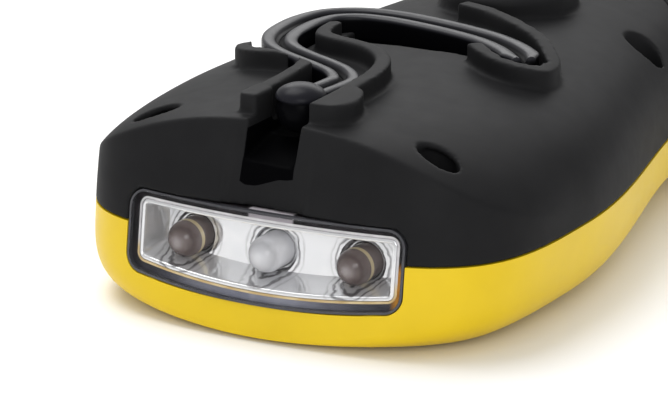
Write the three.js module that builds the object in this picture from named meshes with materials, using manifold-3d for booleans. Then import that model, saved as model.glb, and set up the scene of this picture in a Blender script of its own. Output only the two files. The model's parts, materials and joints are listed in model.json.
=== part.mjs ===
// Hand-held LED inspection lamp with a torch window in its nose, a work window underneath,
// a magnet on its back and a fold-out hook on a ball.
// Millimetres, +Z up. The lamp lies on its work window. +Y runs from the nose to the tail.
import * as THREE from 'three';
import { mergeVertices } from 'three/addons/utils/BufferGeometryUtils.js';
import Module from 'manifold-3d';

const wasm = await Module();
wasm.setup();

// Outer form of the casing
const tailLength = 29;
const frontDepth = 13;
const noseY = 2.4;
const headMiddleY = 34;
const headHalfWidth = 34;
const headPower = 3.7;
const neckY = 94;
const tailPower = 2.4;
const tailEndHeight = 0.55;
const crownAtNose = 16.2;
const crownAtNeck = 17;
const crownAtTail = 14;
const crownPowerAtNose = 2.4;
const crownPowerAtNeck = 2.9;
const domeAhead = 5;
const bellyDepthAtNose = 12.4;
const bellyDepth = 13.7;
const bellyDepthAtNeck = 12.3;
const bellyDepthAtTail = 13.5;
const bellyPowerAtNose = 4.2;
const bellyPowerAtNeck = 3.2;
const noseLeanSlope = 0.12;
const noseLeanCurve = 0.0115;
const noseLeanLength = 30;

// Walls and fits
const wall = 2;
const seamGap = 0.1;
const fit = 0.15;
const clearance = 0.3;

// Torch window in the nose
const torchHalfWidth = 21.3;
const torchTop = 4.8;
const torchBottom = -6.7;
const torchBottomSag = 1.2;
const torchCorner = 2.6;
const torchProud = 0.7;
const torchLensThickness = 1.1;
const torchFaceRadius = 108;
const torchOpeningDepth = 6.6;
const torchPitch = 13.1;
const torchLedHeight = -1.4;
const torchLedRadius = 2.5;
const torchLedFlange = 1;
const torchTrayRim = 1.7;
const torchTrayDepth = 7.4;
const torchTraySideDepth = 3.2;
const torchTraySideWidth = 3.4;
const torchCupRadius = 8.4;
const torchBoardHalfHeight = 4;
const boardThickness = 1.6;

// Work window underneath
const workStartY = 12.6;
const workEndY = 65;
const workHalfWidth = 20;
const workCorner = 13;
const workRecess = 0.5;
const workWindowThickness = 1.6;
const workLedge = 1.4;
const workTrayWall = 1;
const workTrayHeight = 3.4;
const workColumns = 4;
const workRows = 6;
const workPitchX = 8.6;
const workPitchY = 7.8;
const workLedRadius = 2.5;
const workLedLength = 4.2;
const workBoardMargin = 3.2;

// Hook, its ball and the slot that holds it
const ballY = 14.2;
const ballHeight = 16.5;
const ballRadius = 3.6;
const ballPlay = 0.45;
const hookWidth = 5.6;
const hookTop = 18.5;
const hookThickness = 4.1;
const hookGroove = 1.7;
const hookGrooveDepth = 1;
const hookSoftEdge = 0.7;
const hookNeckSlimming = 0.2;
const hookTipSlimming = 0.4;
const hookClearance = 0.5;
const slotHalfWidth = 3.75;
const slotFrontFloor = 10.4;
const neckRoomWidth = 4.6;
const rimHeight = 2.8;
const rimRoot = 11;
const rimWidth = 2.3;
const channelBacking = 1.3;

// Finger pocket under the hook's bow
const pocketFloor = 9.3;
const pocketLeft = -12.8;
const pocketRight = 8.4;
const pocketFront = 48.2;
const pocketSkew = 0.9;
const pocketBack = 56.4;
const pocketBow = 4;

// Magnet boss behind the hook
const bossY = 77;
const bossRadius = 10.2;
const bossTop = 20.4;
const bossEdge = 0.8;
const magnetRadius = 8;
const magnetThickness = 4;

// Battery bay in the handle
const bayStartY = 118;
const bayWallInset = 4.6;
const bayWallRise = 5;
const baySideRoom = 0.5;
const cellRadius = 7.1;
const cellLength = 50.5;
const cellNubLength = 1;
const cellNubRadius = 2.7;
const cellGap = 0.8;
const cellHeight = 0.6;
const cradleInset = 12;
const springLength = 5.6;
const springCurls = 4;
const springBaseRadius = 3.6;
const springTipRadius = 2.4;
const springWire = 0.8;
const contactThickness = 0.5;
const contactHalfWidth = 5.6;
const contactHalfHeight = 6;
const contactGap = 0.1;
const coverArcRadius = 25.3;
const coverShoulder = 4;
const coverSplitHeight = 9.6;

// Push button on the work window's side of the handle
const buttonY = 104;
const buttonRadius = 6.2;
const buttonTravel = 1.2;
const buttonFace = -12.5;
const buttonFlange = 1.4;
const buttonFlangeThickness = 1;
const buttonStemRadius = 2.4;
const buttonStemLength = 0.8;
const switchSize = 6;
const switchHeight = 3.2;
const buttonBoardHalfWidth = 12;
const buttonBoardHalfLength = 7;
const padWidth = 2.6;
const padLength = 6;

// Screws
const screwHoleRadius = 2.8;
const screwPostWall = 1.6;
const screwHeadRadius = 2.4;
const screwHeadHeight = 1.8;
const screwShankRadius = 1.3;
const screwLength = 10;
const screwSeat = 3;
const screwDriveDepth = 0.9;
const frontScrewX = 21.2;
const frontScrewY = 13.6;
const rearScrewX = 21.2;
const rearScrewY = 78.3;

// Curve resolution
const roundSteps = 28;
const smallSteps = 14;
const tinySteps = 10;

// Places along the battery bay, whose end is where the tail begins
const frontContactY = bayStartY + fit;
const frontContactBack = frontContactY + contactThickness;
const bayInside = contactGap + springLength + contactGap + cellLength + contactGap;
const tailContactY = frontContactBack + bayInside;
const tailWallY = tailContactY + contactThickness + fit;
const tailStartY = tailWallY + clearance;
const length = tailStartY + tailLength;

// Places across the battery bay, whose three cells set the handle's width
const cellPitch = 2 * cellRadius + cellGap;
const handleHalfWidth = cellPitch + cellRadius + baySideRoom + wall;
const bayWallHalfWidth = handleHalfWidth - bayWallInset;
const coverHalfWidth = handleHalfWidth - coverShoulder;

// Cutters run this far past what they cut
const far = length + 50;

// Volume under the faces, negative where a profile was drawn the other way round
const signedVolume = (positions, triangles) => {
  const corner = (i) => new THREE.Vector3().fromArray(positions, triangles[i] * 3);
  let sum = 0;
  for (let i = 0; i < triangles.length; i += 3) {
    sum += corner(i).dot(corner(i + 1).cross(corner(i + 2)));
  }
  return sum / 6;
};

const solidOf = (geometry) => {
  const bare = geometry.clone();
  bare.deleteAttribute('normal');
  bare.deleteAttribute('uv');
  const merged = mergeVertices(bare, 1e-4);
  const vertProperties = Float32Array.from(merged.attributes.position.array);
  const triVerts = Uint32Array.from(merged.index.array);
  if (signedVolume(vertProperties, triVerts) < 0) {
    triVerts.reverse();
  }
  return new wasm.Manifold(new wasm.Mesh({ numProp: 3, vertProperties, triVerts }));
};

const geometryOf = (solid) => {
  const mesh = solid.getMesh();
  const geometry = new THREE.BufferGeometry();
  const positions = new Float32Array(mesh.numVert * 3);
  for (let i = 0; i < mesh.numVert; i += 1) {
    positions.set(mesh.position(i), i * 3);
  }
  geometry.setAttribute('position', new THREE.BufferAttribute(positions, 3));
  geometry.setIndex(Array.from(mesh.triVerts));
  geometry.computeVertexNormals();
  return geometry;
};

const joined = (...solids) => solids.flat().reduce((sum, next) => sum.add(next));

// Simple forms
function box(x0, x1, y0, y1, z0, z1) {
  const geometry = new THREE.BoxGeometry(x1 - x0, y1 - y0, z1 - z0);
  geometry.translate((x0 + x1) / 2, (y0 + y1) / 2, (z0 + z1) / 2);
  return solidOf(geometry);
}

function postZ(x, y, radius, z0, z1, steps = roundSteps) {
  const geometry = new THREE.CylinderGeometry(radius, radius, z1 - z0, steps);
  geometry.rotateX(Math.PI / 2);
  geometry.translate(x, y, (z0 + z1) / 2);
  return solidOf(geometry);
}

function postY(x, z, radius, y0, y1, steps = roundSteps) {
  const geometry = new THREE.CylinderGeometry(radius, radius, y1 - y0, steps);
  geometry.translate(x, (y0 + y1) / 2, z);
  return solidOf(geometry);
}

// A turned form about the Y direction: profile points are [radius, y]
function turnedY(profile, x, z, steps) {
  const geometry = new THREE.LatheGeometry(profile.map(([r, y]) => new THREE.Vector2(r, y)), steps);
  geometry.translate(x, 0, z);
  return solidOf(geometry);
}

// A turned form about the Z direction: profile points are [radius, z]
function turnedZ(profile, x, y, steps) {
  const geometry = new THREE.LatheGeometry(profile.map(([r, z]) => new THREE.Vector2(r, z)), steps);
  geometry.rotateX(Math.PI / 2);
  geometry.translate(x, y, 0);
  return solidOf(geometry);
}

// A plan outline pushed up
function prismZ(shape, z0, z1, curveSegments = 3) {
  const geometry = new THREE.ExtrudeGeometry(shape, { depth: z1 - z0, bevelEnabled: false, curveSegments });
  geometry.translate(0, 0, z0);
  return solidOf(geometry);
}

// An outline drawn in x and z, pushed along y
function prismY(shape, y0, y1, curveSegments = 3) {
  const geometry = new THREE.ExtrudeGeometry(shape, { depth: y1 - y0, bevelEnabled: false, curveSegments });
  geometry.rotateX(Math.PI / 2);
  geometry.translate(0, y1, 0);
  return solidOf(geometry);
}

// An outline drawn in y and z, pushed along x
function prismX(shape, x0, x1, curveSegments = 3) {
  const geometry = new THREE.ExtrudeGeometry(shape, { depth: x1 - x0, bevelEnabled: false, curveSegments });
  geometry.rotateX(Math.PI / 2);
  geometry.rotateZ(Math.PI / 2);
  geometry.translate(x0, 0, 0);
  return solidOf(geometry);
}

function roundedShape(x0, x1, y0, y1, corner) {
  const shape = new THREE.Shape();
  const quarter = Math.PI / 2;
  shape.absarc(x1 - corner, y0 + corner, corner, -quarter, 0);
  shape.absarc(x1 - corner, y1 - corner, corner, 0, quarter);
  shape.absarc(x0 + corner, y1 - corner, corner, quarter, 2 * quarter);
  shape.absarc(x0 + corner, y0 + corner, corner, 2 * quarter, 3 * quarter);
  return shape;
}

const smooth = (value, from, to) => {
  const t = Math.min(1, Math.max(0, (value - from) / (to - from)));
  return t * t * (3 - 2 * t);
};

const mix = (a, b, t) => a + (b - a) * t;

// Quarter of a superellipse: 1 at the middle, 0 at the end
const rounded = (t, power) => (1 - Math.min(1, Math.abs(t)) ** power) ** (1 / power);

// Nose face set back with height: the same lean serves the casing and the torch window
const noseLean = (z) => noseLeanSlope * z + (z > 0 ? noseLeanCurve * z * z : 0);

const tailTurn = (y, inset) => rounded((y - tailStartY) / (length - inset - tailStartY), tailPower);

function halfWidthAt(y, inset) {
  if (y < headMiddleY) {
    const reach = headMiddleY - noseY - inset;
    return (headHalfWidth - inset) * rounded((headMiddleY - y) / reach, headPower);
  }
  const body = mix(headHalfWidth, handleHalfWidth, smooth(y, headMiddleY, neckY)) - inset;
  return y < tailStartY ? body : body * tailTurn(y, inset);
}

const tailHeight = (y, inset) => (y < tailStartY ? 1 : mix(tailEndHeight, 1, tailTurn(y, inset)));

function crownAt(y, inset) {
  const head = mix(crownAtNose, crownAtNeck, smooth(y, noseY, bossY));
  return mix(head, crownAtTail, smooth(y, neckY, tailStartY)) * tailHeight(y, inset) - inset;
}

function bellyAt(y, inset) {
  const head = mix(bellyDepthAtNose, bellyDepth, smooth(y, noseY, noseY + bellyDepth));
  const neck = mix(head, bellyDepthAtNeck, smooth(y, headMiddleY, neckY));
  return mix(neck, bellyDepthAtTail, smooth(y, neckY, tailStartY)) * tailHeight(y, inset) - inset;
}

// Rows of sections from one end to the other, closed by a flat at each end
function loft(rows) {
  const around = rows[0].length;
  const index = [];
  for (let row = 0; row < rows.length - 1; row += 1) {
    for (let i = 0; i < around; i += 1) {
      const next = (i + 1) % around;
      const a = row * around + i;
      const b = row * around + next;
      const c = (row + 1) * around + i;
      const d = (row + 1) * around + next;
      index.push(a, b, d, a, d, c);
    }
  }
  const last = (rows.length - 1) * around;
  for (let i = 1; i < around - 1; i += 1) {
    index.push(0, i + 1, i);
    index.push(last, last + i, last + i + 1);
  }
  const geometry = new THREE.BufferGeometry();
  geometry.setAttribute('position', new THREE.Float32BufferAttribute(rows.flat(2), 3));
  geometry.setIndex(index);
  return solidOf(geometry);
}

// One cross-section of the casing, a crown above the parting plane and a belly below it
function casingSection(y, inset, steps) {
  const halfWidth = halfWidthAt(y, inset);
  const ahead = Math.min(y + domeAhead, headMiddleY);
  const domeHalfWidth = y < headMiddleY ? halfWidthAt(ahead, inset) : halfWidth;
  const crown = crownAt(y, inset);
  const belly = bellyAt(y, inset);
  const turn = smooth(y, noseY, headMiddleY);
  const crownPower = mix(crownPowerAtNose, crownPowerAtNeck, turn);
  const bellyPower = mix(bellyPowerAtNose, bellyPowerAtNeck, smooth(y, headMiddleY, neckY));
  const start = noseY + inset;
  const fade = 1 - smooth(y, start, start + noseLeanLength);
  const section = [];
  for (let i = 0; i < steps; i += 1) {
    const angle = (i / steps) * 2 * Math.PI;
    const c = Math.cos(angle);
    const s = Math.sin(angle);
    const power = s >= 0 ? crownPower : bellyPower;
    const reach = (s > 0 ? domeHalfWidth : halfWidth) * Math.abs(c) ** (2 / power);
    const x = Math.min(reach, halfWidth) * Math.sign(c);
    const z = (s >= 0 ? crown : belly) * Math.sign(s) * Math.abs(s) ** (2 / power);
    section.push([x, y + noseLean(z) * fade, z]);
  }
  return section.reverse();
}

// The casing's form, set in from the outside by a wall or by nothing
function casingForm(inset, steps, noseRows, bodyRows, tailRows) {
  const tiny = 0.02;
  const start = noseY + inset + tiny;
  const end = length - inset - tiny;
  const stations = [];
  for (let i = 0; i < noseRows; i += 1) {
    const turn = (i / noseRows) * (Math.PI / 2);
    stations.push(mix(start, headMiddleY, 1 - Math.cos(turn)));
  }
  for (let i = 0; i < bodyRows; i += 1) {
    stations.push(mix(headMiddleY, tailStartY, i / bodyRows));
  }
  for (let i = 0; i <= tailRows; i += 1) {
    const turn = (i / tailRows) * (Math.PI / 2);
    stations.push(mix(tailStartY, end, Math.sin(turn)));
  }
  return loft(stations.map((y) => casingSection(y, inset, steps)));
}

const outerForm = casingForm(0, 40, 10, 13, 6);
const innerForm = casingForm(wall, 24, 6, 8, 4);
const above = box(-far, far, -far, far, seamGap / 2, far);
const below = box(-far, far, -far, far, -frontDepth, -seamGap / 2);

// A turned skin that follows the nose face, from one depth to another
function noseSkin(from, to) {
  const outer = [];
  const inner = [];
  const steps = 6;
  for (let i = 0; i <= steps; i += 1) {
    const z = mix(-frontDepth, torchTop * 2, i / steps);
    outer.push([torchFaceRadius - noseLean(z) - from, z]);
    inner.push([torchFaceRadius - noseLean(z) - to, z]);
  }
  const profile = [...inner, ...outer.reverse(), inner[0]];
  return turnedZ(profile, 0, noseY + torchFaceRadius, 140);
}

// Outline of the torch window in x and z, grown or shrunk by an amount
function torchShape(grow) {
  const half = torchHalfWidth + grow;
  const top = torchTop + grow;
  const bottom = torchBottom - grow;
  const corner = torchCorner + grow;
  const quarter = Math.PI / 2;
  const flat = half - corner;
  const sagRadius = (flat * flat + torchBottomSag * torchBottomSag) / (2 * torchBottomSag);
  const sweep = Math.asin(flat / sagRadius);
  const shape = new THREE.Shape();
  shape.absarc(flat, top - corner, corner, 0, quarter);
  shape.absarc(-flat, top - corner, corner, quarter, 2 * quarter);
  shape.absarc(-flat, bottom + corner, corner, 2 * quarter, 3 * quarter);
  shape.absarc(0, bottom - torchBottomSag + sagRadius, sagRadius, 3 * quarter - sweep, 3 * quarter + sweep);
  shape.absarc(flat, bottom + corner, corner, 3 * quarter, 4 * quarter);
  return shape;
}

const torchOpening = prismY(torchShape(fit), -far, noseY + torchOpeningDepth);
const torchTrayBack = noseY + torchTrayDepth + torchLedRadius;
const torchLensBack = torchLensThickness - torchProud + clearance;
const torchFoot = torchTrayBack + clearance + torchLedFlange;

function torchLens() {
  return noseSkin(-torchProud, torchLensThickness - torchProud).intersect(prismY(torchShape(0), -far, headMiddleY));
}

// A bowl that narrows from the window to the lamp that it surrounds
function torchCup(x) {
  const rimRadius = torchCupRadius + 1;
  const holeRadius = torchLedRadius + clearance;
  const front = noseY - 2;
  const back = torchTrayBack - 1;
  const steps = 4;
  const profile = [[0, front - 2], [rimRadius + 1, front - 2]];
  for (let i = 0; i <= steps; i += 1) {
    const t = i / steps;
    profile.push([Math.sqrt(mix(rimRadius ** 2, holeRadius ** 2, t)), mix(front, back, t)]);
  }
  profile.push([holeRadius, back + 3], [0, back + 3]);
  return turnedY(profile, x, torchLedHeight, 20);
}

function torchReflector() {
  const full = noseSkin(torchLensBack, torchLensBack + torchTrayDepth + torchLedRadius);
  const middle = torchHalfWidth + fit - torchTraySideWidth - torchTrayRim;
  const sideBack = noseY + torchLensBack + torchTraySideDepth + wall;
  const tray = full
    .intersect(prismY(torchShape(-fit), -far, torchTrayBack))
    .subtract(box(middle, far, sideBack, far, -far, far))
    .subtract(box(-far, -middle, sideBack, far, -far, far));
  const cups = joined([-torchPitch, 0, torchPitch].map(torchCup));
  return tray.subtract(cups.intersect(prismY(torchShape(-torchTrayRim), -far, far)));
}

// A clear round-nosed lamp that points to -Y, with a flange at its foot
function torchLed(x, tip) {
  const profile = [];
  const steps = 3;
  for (let i = 0; i <= steps; i += 1) {
    const turn = (i / steps) * (Math.PI / 2);
    profile.push([torchLedRadius * Math.sin(turn), tip + torchLedRadius * (1 - Math.cos(turn))]);
  }
  const flangeRadius = torchLedRadius + 0.4;
  const flange = torchFoot - torchLedFlange;
  profile.push([torchLedRadius, flange], [flangeRadius, flange], [flangeRadius, torchFoot], [0, torchFoot]);
  return turnedY(profile, x, torchLedHeight, smallSteps);
}

function torchBoard() {
  const half = torchPitch + torchLedRadius + 0.8;
  const y = torchFoot + fit;
  const z = torchLedHeight;
  return box(-half, half, y, y + boardThickness, z - torchBoardHalfHeight, z + torchBoardHalfHeight);
}

const planCurve = (points) => (
  new THREE.CatmullRomCurve3(points.map(([x, y]) => new THREE.Vector3(x, y, 0)), false, 'centripetal')
);

// Plan outline of a band of even width along a smooth path
function bandShape(points, width, divisions) {
  const curve = planCurve(points);
  const left = [];
  const right = [];
  for (let i = 0; i <= divisions; i += 1) {
    const point = curve.getPoint(i / divisions);
    const tangent = curve.getTangent(i / divisions);
    left.push(new THREE.Vector2(point.x - tangent.y * width / 2, point.y + tangent.x * width / 2));
    right.push(new THREE.Vector2(point.x + tangent.y * width / 2, point.y - tangent.x * width / 2));
  }
  return new THREE.Shape([...right, ...left.reverse()]);
}

// The hook's centre line in plan, from the ball round the bow to the tip
const hookPath = [
  [0, ballY], [0.3, 18], [0.7, 21.6], [0.6, 25], [-1.6, 28], [-5, 30.2], [-9, 32.2], [-13.1, 34.5],
  [-16.2, 37.4], [-18.1, 41.2], [-18.8, 45.6], [-18.7, 50], [-17.3, 54.2], [-13.6, 56.9], [-8.6, 57.6],
  [-2.8, 56.9], [3.2, 55.5], [8.4, 53.7], [12.6, 51.3], [15.8, 48.6], [18, 45.8],
];
const hookDivisions = 40;

// Shares of the hook's full width along its path: slim at the neck, slimmer still at the tip
const neckShare = (t) => 1 - hookNeckSlimming * (1 - smooth(t, 0.3, 0.5));
const hookShare = (t) => neckShare(t) - hookTipSlimming * smooth(t, 0.94, 1);

// Sections carried along a plan path
function sweepAlong(points, sectionAt) {
  const curve = planCurve(points);
  const rows = [];
  for (let i = 0; i <= hookDivisions; i += 1) {
    const t = i / hookDivisions;
    const point = curve.getPoint(t);
    const tangent = curve.getTangent(t);
    rows.push(sectionAt(t).map(([across, z]) => [point.x + tangent.y * across, point.y - tangent.x * across, z]));
  }
  return loft(rows);
}

// The hook's section at a share of its full width: a flat underside, two ridges and a groove between them
function hookSection(share) {
  const half = (hookWidth / 2) * share;
  const groove = (hookGroove / 2) * share;
  const base = hookTop - hookThickness;
  const side = [
    [half - hookSoftEdge, base], [half, base + hookSoftEdge], [half, hookTop - hookSoftEdge],
    [(half + groove) / 2, hookTop], [groove, hookTop - hookGrooveDepth],
  ];
  const mirrored = side.map(([x, z]) => [-x, z]).reverse();
  return [[0, base], ...side, ...mirrored];
}

function hook() {
  const ball = new THREE.SphereGeometry(ballRadius, 18, 12);
  ball.rotateX(Math.PI / 2);
  ball.translate(0, ballY, ballHeight);
  const bar = sweepAlong(hookPath, (t) => hookSection(hookShare(t)));
  return solidOf(ball).add(bar.subtract(box(-far, far, -far, ballY + clearance, -far, far)));
}

const channelBase = hookTop - hookThickness - clearance;

// The channel that the hook lies in, wider and deeper than the hook, run on past its tip
function hookChannel(grow) {
  const base = channelBase - grow;
  const top = hookTop + frontDepth;
  const [lastX, lastY] = hookPath[hookPath.length - 1];
  const [beforeX, beforeY] = hookPath[hookPath.length - 2];
  const step = hookClearance / Math.hypot(lastX - beforeX, lastY - beforeY);
  const beyond = [lastX + (lastX - beforeX) * step, lastY + (lastY - beforeY) * step];
  return sweepAlong([...hookPath, beyond], (t) => {
    const half = (hookWidth / 2) * neckShare(t) + hookClearance + grow;
    return [[half, base], [half, top], [-half, top], [-half, base]];
  });
}

// Open room to the left of the hook's neck
function neckRoom(grow) {
  const path = [[-2.4, ballY], [-2.6, 20], [-2.9, 25], [-3.2, 28.6 + grow]];
  return prismZ(bandShape(path, neckRoomWidth + 2 * grow, 6), channelBase - grow, far);
}

// Raised rims on the back that guard the hook
const leftRim = [
  [-5.6, 13], [-5.8, 17], [-6, 21], [-6.3, 25.4], [-7.2, 29], [-9.6, 30.7], [-12.8, 31.2], [-16.6, 31.5],
  [-19.6, 33], [-21.5, 36.4],
];
const rightRim = [
  [4.6, 18.6], [4.6, 22], [4.5, 25.8], [3.8, 29.6], [2.5, 33.1], [0.4, 35.9], [-2.5, 38.1], [-5.7, 39.3],
  [-9.2, 40.4], [-11.6, 41.8], [-12.8, 44.4], [-13.2, 48.4],
];
const tipRim = [
  [-1.2, 64.4], [4.3, 62.6], [9.7, 59.6], [15.1, 56.1], [18.9, 52], [21.2, 48.2], [21.4, 44.6],
  [18.8, 42.7], [15.8, 42.8], [12.6, 44.4], [9.6, 47],
];

// The blocks at both sides of the slot, each drawn from its front edge round its outer side
const leftBlock = [[-slotHalfWidth, 9.2], [-7, 9.8], [-7.3, 12.6], [-6.8, 15.8], [-slotHalfWidth, 16]];
const rightBlock = [[slotHalfWidth, 9.4], [7, 10], [8.8, 13.4], [6.6, 19.4], [slotHalfWidth, 19.4]];
const outlineShape = (points) => new THREE.Shape(points.map(([x, y]) => new THREE.Vector2(x, y)));

// Side view of the slot: a scoop down the nose face, a round seat for the ball, open above
function slotShape(grow) {
  const radius = ballRadius + ballPlay + grow;
  const shape = new THREE.Shape();
  shape.moveTo(-length, slotFrontFloor - 1.4 - grow);
  shape.lineTo(noseY + 2, slotFrontFloor - grow);
  shape.absarc(ballY, ballHeight, radius, -Math.PI / 2 - 0.25, 0);
  shape.lineTo(ballY + radius, far);
  shape.lineTo(-length, far);
  shape.closePath();
  return shape;
}

// Plan of the finger pocket: a straight front edge, and a bowed back that stays under the hook
function pocketShape(grow) {
  const left = pocketLeft - grow;
  const right = pocketRight + grow;
  const back = pocketBack + grow;
  const shape = new THREE.Shape();
  shape.moveTo(left, pocketFront - grow);
  shape.lineTo(right, pocketFront + pocketSkew - grow);
  shape.lineTo(right, back - pocketSkew);
  shape.quadraticCurveTo((left + right) / 2, back + pocketBow, left, back + pocketSkew);
  shape.closePath();
  return shape;
}

// Plan of the battery cover: an arc round the boss, then straight sides to the tail
function coverShape(grow) {
  const half = coverHalfWidth + grow;
  const radius = coverArcRadius - grow;
  const sweep = Math.asin(half / radius);
  const shape = new THREE.Shape();
  shape.absarc(0, bossY, radius, Math.PI / 2 - sweep, Math.PI / 2 + sweep);
  shape.lineTo(-half, far);
  shape.lineTo(half, far);
  shape.closePath();
  return shape;
}

const screwPlaces = [
  ['front_left', -frontScrewX, frontScrewY], ['front_right', frontScrewX, frontScrewY],
  ['rear_left', -rearScrewX, rearScrewY], ['rear_right', rearScrewX, rearScrewY],
];

const atScrews = (radius, z0, z1) => joined(screwPlaces.map(([, x, y]) => postZ(x, y, radius, z0, z1, smallSteps)));

function magnetBoss() {
  const profile = [
    [0, rimRoot], [bossRadius, rimRoot], [bossRadius, bossTop - clearance - bossEdge],
    [bossRadius - bossEdge, bossTop - clearance], [0, bossTop - clearance],
  ];
  return turnedZ(profile, 0, bossY, roundSteps);
}

function backShell() {
  const half = outerForm.intersect(above);
  const trough = prismX(slotShape(wall), -slotHalfWidth - wall, slotHalfWidth + wall);
  const pocketWalls = prismZ(pocketShape(wall), pocketFloor - wall, far);
  const magnetSeat = bossTop - magnetThickness - fit;
  const magnetCup = postZ(0, bossY, bossRadius, magnetSeat - wall, far);
  const inside = joined(
    atScrews(screwHoleRadius + screwPostWall, seamGap / 2, far),
    trough,
    pocketWalls,
    magnetCup,
    hookChannel(channelBacking),
    neckRoom(channelBacking),
  );
  const rimPlans = [
    bandShape(leftRim, rimWidth, 20), bandShape(rightRim, rimWidth, 22), bandShape(tipRim, rimWidth, 24),
    outlineShape(leftBlock), outlineShape(rightBlock),
  ];
  const rims = joined(rimPlans.map((plan) => prismZ(plan, rimRoot, far)))
    .intersect(outerForm.translate([0, 0, rimHeight]));
  const cuts = joined(
    hookChannel(0),
    neckRoom(0),
    prismX(slotShape(0), -slotHalfWidth, slotHalfWidth),
    prismZ(pocketShape(0), pocketFloor, far),
    postZ(0, bossY, magnetRadius + fit, magnetSeat, far),
    torchOpening,
    atScrews(screwHoleRadius, screwSeat, far),
    atScrews(screwShankRadius + clearance, -far, far),
    prismZ(coverShape(fit), coverSplitHeight, far, 10),
  );
  return half
    .subtract(innerForm)
    .add(inside.intersect(half))
    .add(rims.add(magnetBoss()).subtract(innerForm))
    .subtract(cuts);
}

const batteryCover = () => (
  outerForm.subtract(innerForm).intersect(prismZ(coverShape(0), coverSplitHeight + fit, far, 10))
);

// Heights of the work window, its tray and its board, each resting on the one before
const windowOuter = workRecess - frontDepth;
const windowInner = windowOuter + workWindowThickness;
const ledgeTop = windowInner + fit + workLedge;
const trayBase = ledgeTop + fit;
const trayTop = trayBase + workTrayHeight;
const workFoot = trayTop + fit;
const workMiddleY = (workStartY + workEndY) / 2;

function workShape(grow) {
  const half = workHalfWidth + grow;
  return roundedShape(-half, half, workStartY - grow, workEndY + grow, workCorner + grow);
}

const workPlaces = [];
for (let row = 0; row < workRows; row += 1) {
  for (let column = 0; column < workColumns; column += 1) {
    workPlaces.push([
      (column - (workColumns - 1) / 2) * workPitchX,
      workMiddleY + (row - (workRows - 1) / 2) * workPitchY,
    ]);
  }
}

function workTray() {
  const holes = joined(workPlaces.map(([x, y]) => postZ(x, y, workLedRadius + clearance, -far, far, 8)));
  return prismZ(workShape(-fit), trayBase, trayTop)
    .subtract(prismZ(workShape(-workTrayWall - fit), -far, trayTop - workTrayWall))
    .subtract(holes);
}

// A round-nosed lamp that points down
function workLed(x, y) {
  const tip = workFoot - workLedLength;
  const r = workLedRadius;
  const profile = [[0, tip], [r * 0.7, tip + r * 0.3], [r, tip + r], [r, workFoot], [0, workFoot]];
  return turnedZ(profile, x, y, tinySteps);
}

function workBoard() {
  const half = ((workColumns - 1) / 2) * workPitchX + workLedRadius + workBoardMargin;
  const start = torchFoot + fit + boardThickness + wall;
  const end = workEndY - workBoardMargin;
  return prismZ(roundedShape(-half, half, start, end, workBoardMargin), workFoot + fit, workFoot + fit + boardThickness);
}

// The three cells side by side: a spring stands at each cell's flat end
const cellPlaces = [-1, 0, 1].map((place) => ({ x: place * cellPitch, springInFront: place !== 0 }));

function cell({ x, springInFront }) {
  const shoulder = 0.6;
  const bodyLength = cellLength - cellNubLength;
  const profile = [
    [0, 0], [cellRadius - shoulder, 0], [cellRadius, shoulder], [cellRadius, bodyLength - shoulder],
    [cellRadius - shoulder, bodyLength], [cellNubRadius, bodyLength], [cellNubRadius, cellLength], [0, cellLength],
  ];
  const start = frontContactBack + contactGap + springLength + contactGap;
  const placed = springInFront
    ? profile.map(([r, y]) => [r, start + y])
    : profile.map(([r, y]) => [r, frontContactBack + contactGap + cellLength - y]);
  return turnedY(placed, x, cellHeight, 20);
}

// A wire wound from a wide foot to a narrow tip
class CoilPath extends THREE.Curve {
  constructor(x, foot, tip) {
    super();
    this.x = x;
    this.foot = foot;
    this.tip = tip;
  }

  getPoint(t, target = new THREE.Vector3()) {
    const turn = t * springCurls * 2 * Math.PI;
    const radius = mix(springBaseRadius, springTipRadius, t);
    const y = mix(this.foot, this.tip, t);
    return target.set(this.x + radius * Math.cos(turn), y, cellHeight + radius * Math.sin(turn));
  }
}

function spring({ x, springInFront }) {
  const inset = contactGap + springWire / 2;
  const reach = springLength - springWire;
  const foot = springInFront ? frontContactBack + inset : tailContactY - inset;
  const path = new CoilPath(x, foot, springInFront ? foot + reach : foot - reach);
  const sides = 5;
  const section = new THREE.Shape(Array.from({ length: sides }, (_, i) => {
    const angle = (i / sides) * 2 * Math.PI;
    return new THREE.Vector2(Math.cos(angle), Math.sin(angle)).multiplyScalar(springWire / 2);
  }));
  const wire = { steps: 8 * springCurls, bevelEnabled: false, extrudePath: path };
  return solidOf(new THREE.ExtrudeGeometry(section, wire));
}

// A contact plate behind one cell or across two
function contact(fromPlace, toPlace, y) {
  const x0 = fromPlace * cellPitch - contactHalfWidth;
  const x1 = toPlace * cellPitch + contactHalfWidth;
  const z = cellHeight;
  return box(x0, x1, y, y + contactThickness, z - contactHalfHeight, z + contactHalfHeight);
}

// Walls at both ends of the bay and two cradles for the cells
function bayWalls(top) {
  const half = bayWallHalfWidth;
  return joined(
    box(-half, half, bayStartY - wall, bayStartY, -far, top),
    box(-half, half, tailWallY, tailWallY + wall, -far, top),
  );
}

function cradles() {
  const top = cellHeight - cellRadius / 2;
  const first = bayStartY + springLength + cradleInset;
  const second = tailWallY - springLength - cradleInset;
  const ribs = joined([first, second].map((y) => box(-far, far, y, y + wall, -far, top)));
  const beds = cellPlaces.map(({ x }) => postY(x, cellHeight, cellRadius + clearance, first - 1, second + wall + 1, 20));
  return ribs.subtract(joined(beds));
}

// Heights of the button's parts, from its face inwards
const handleFloor = wall - bellyAt(buttonY, 0);
const flangeBase = handleFloor + clearance;
const flangeTop = flangeBase + buttonFlangeThickness;
const stemTop = flangeTop + buttonStemLength;
const switchBase = stemTop + buttonTravel + fit;
const buttonBoardBase = switchBase + switchHeight + fit;
const padX = buttonBoardHalfWidth - padWidth;

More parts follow.
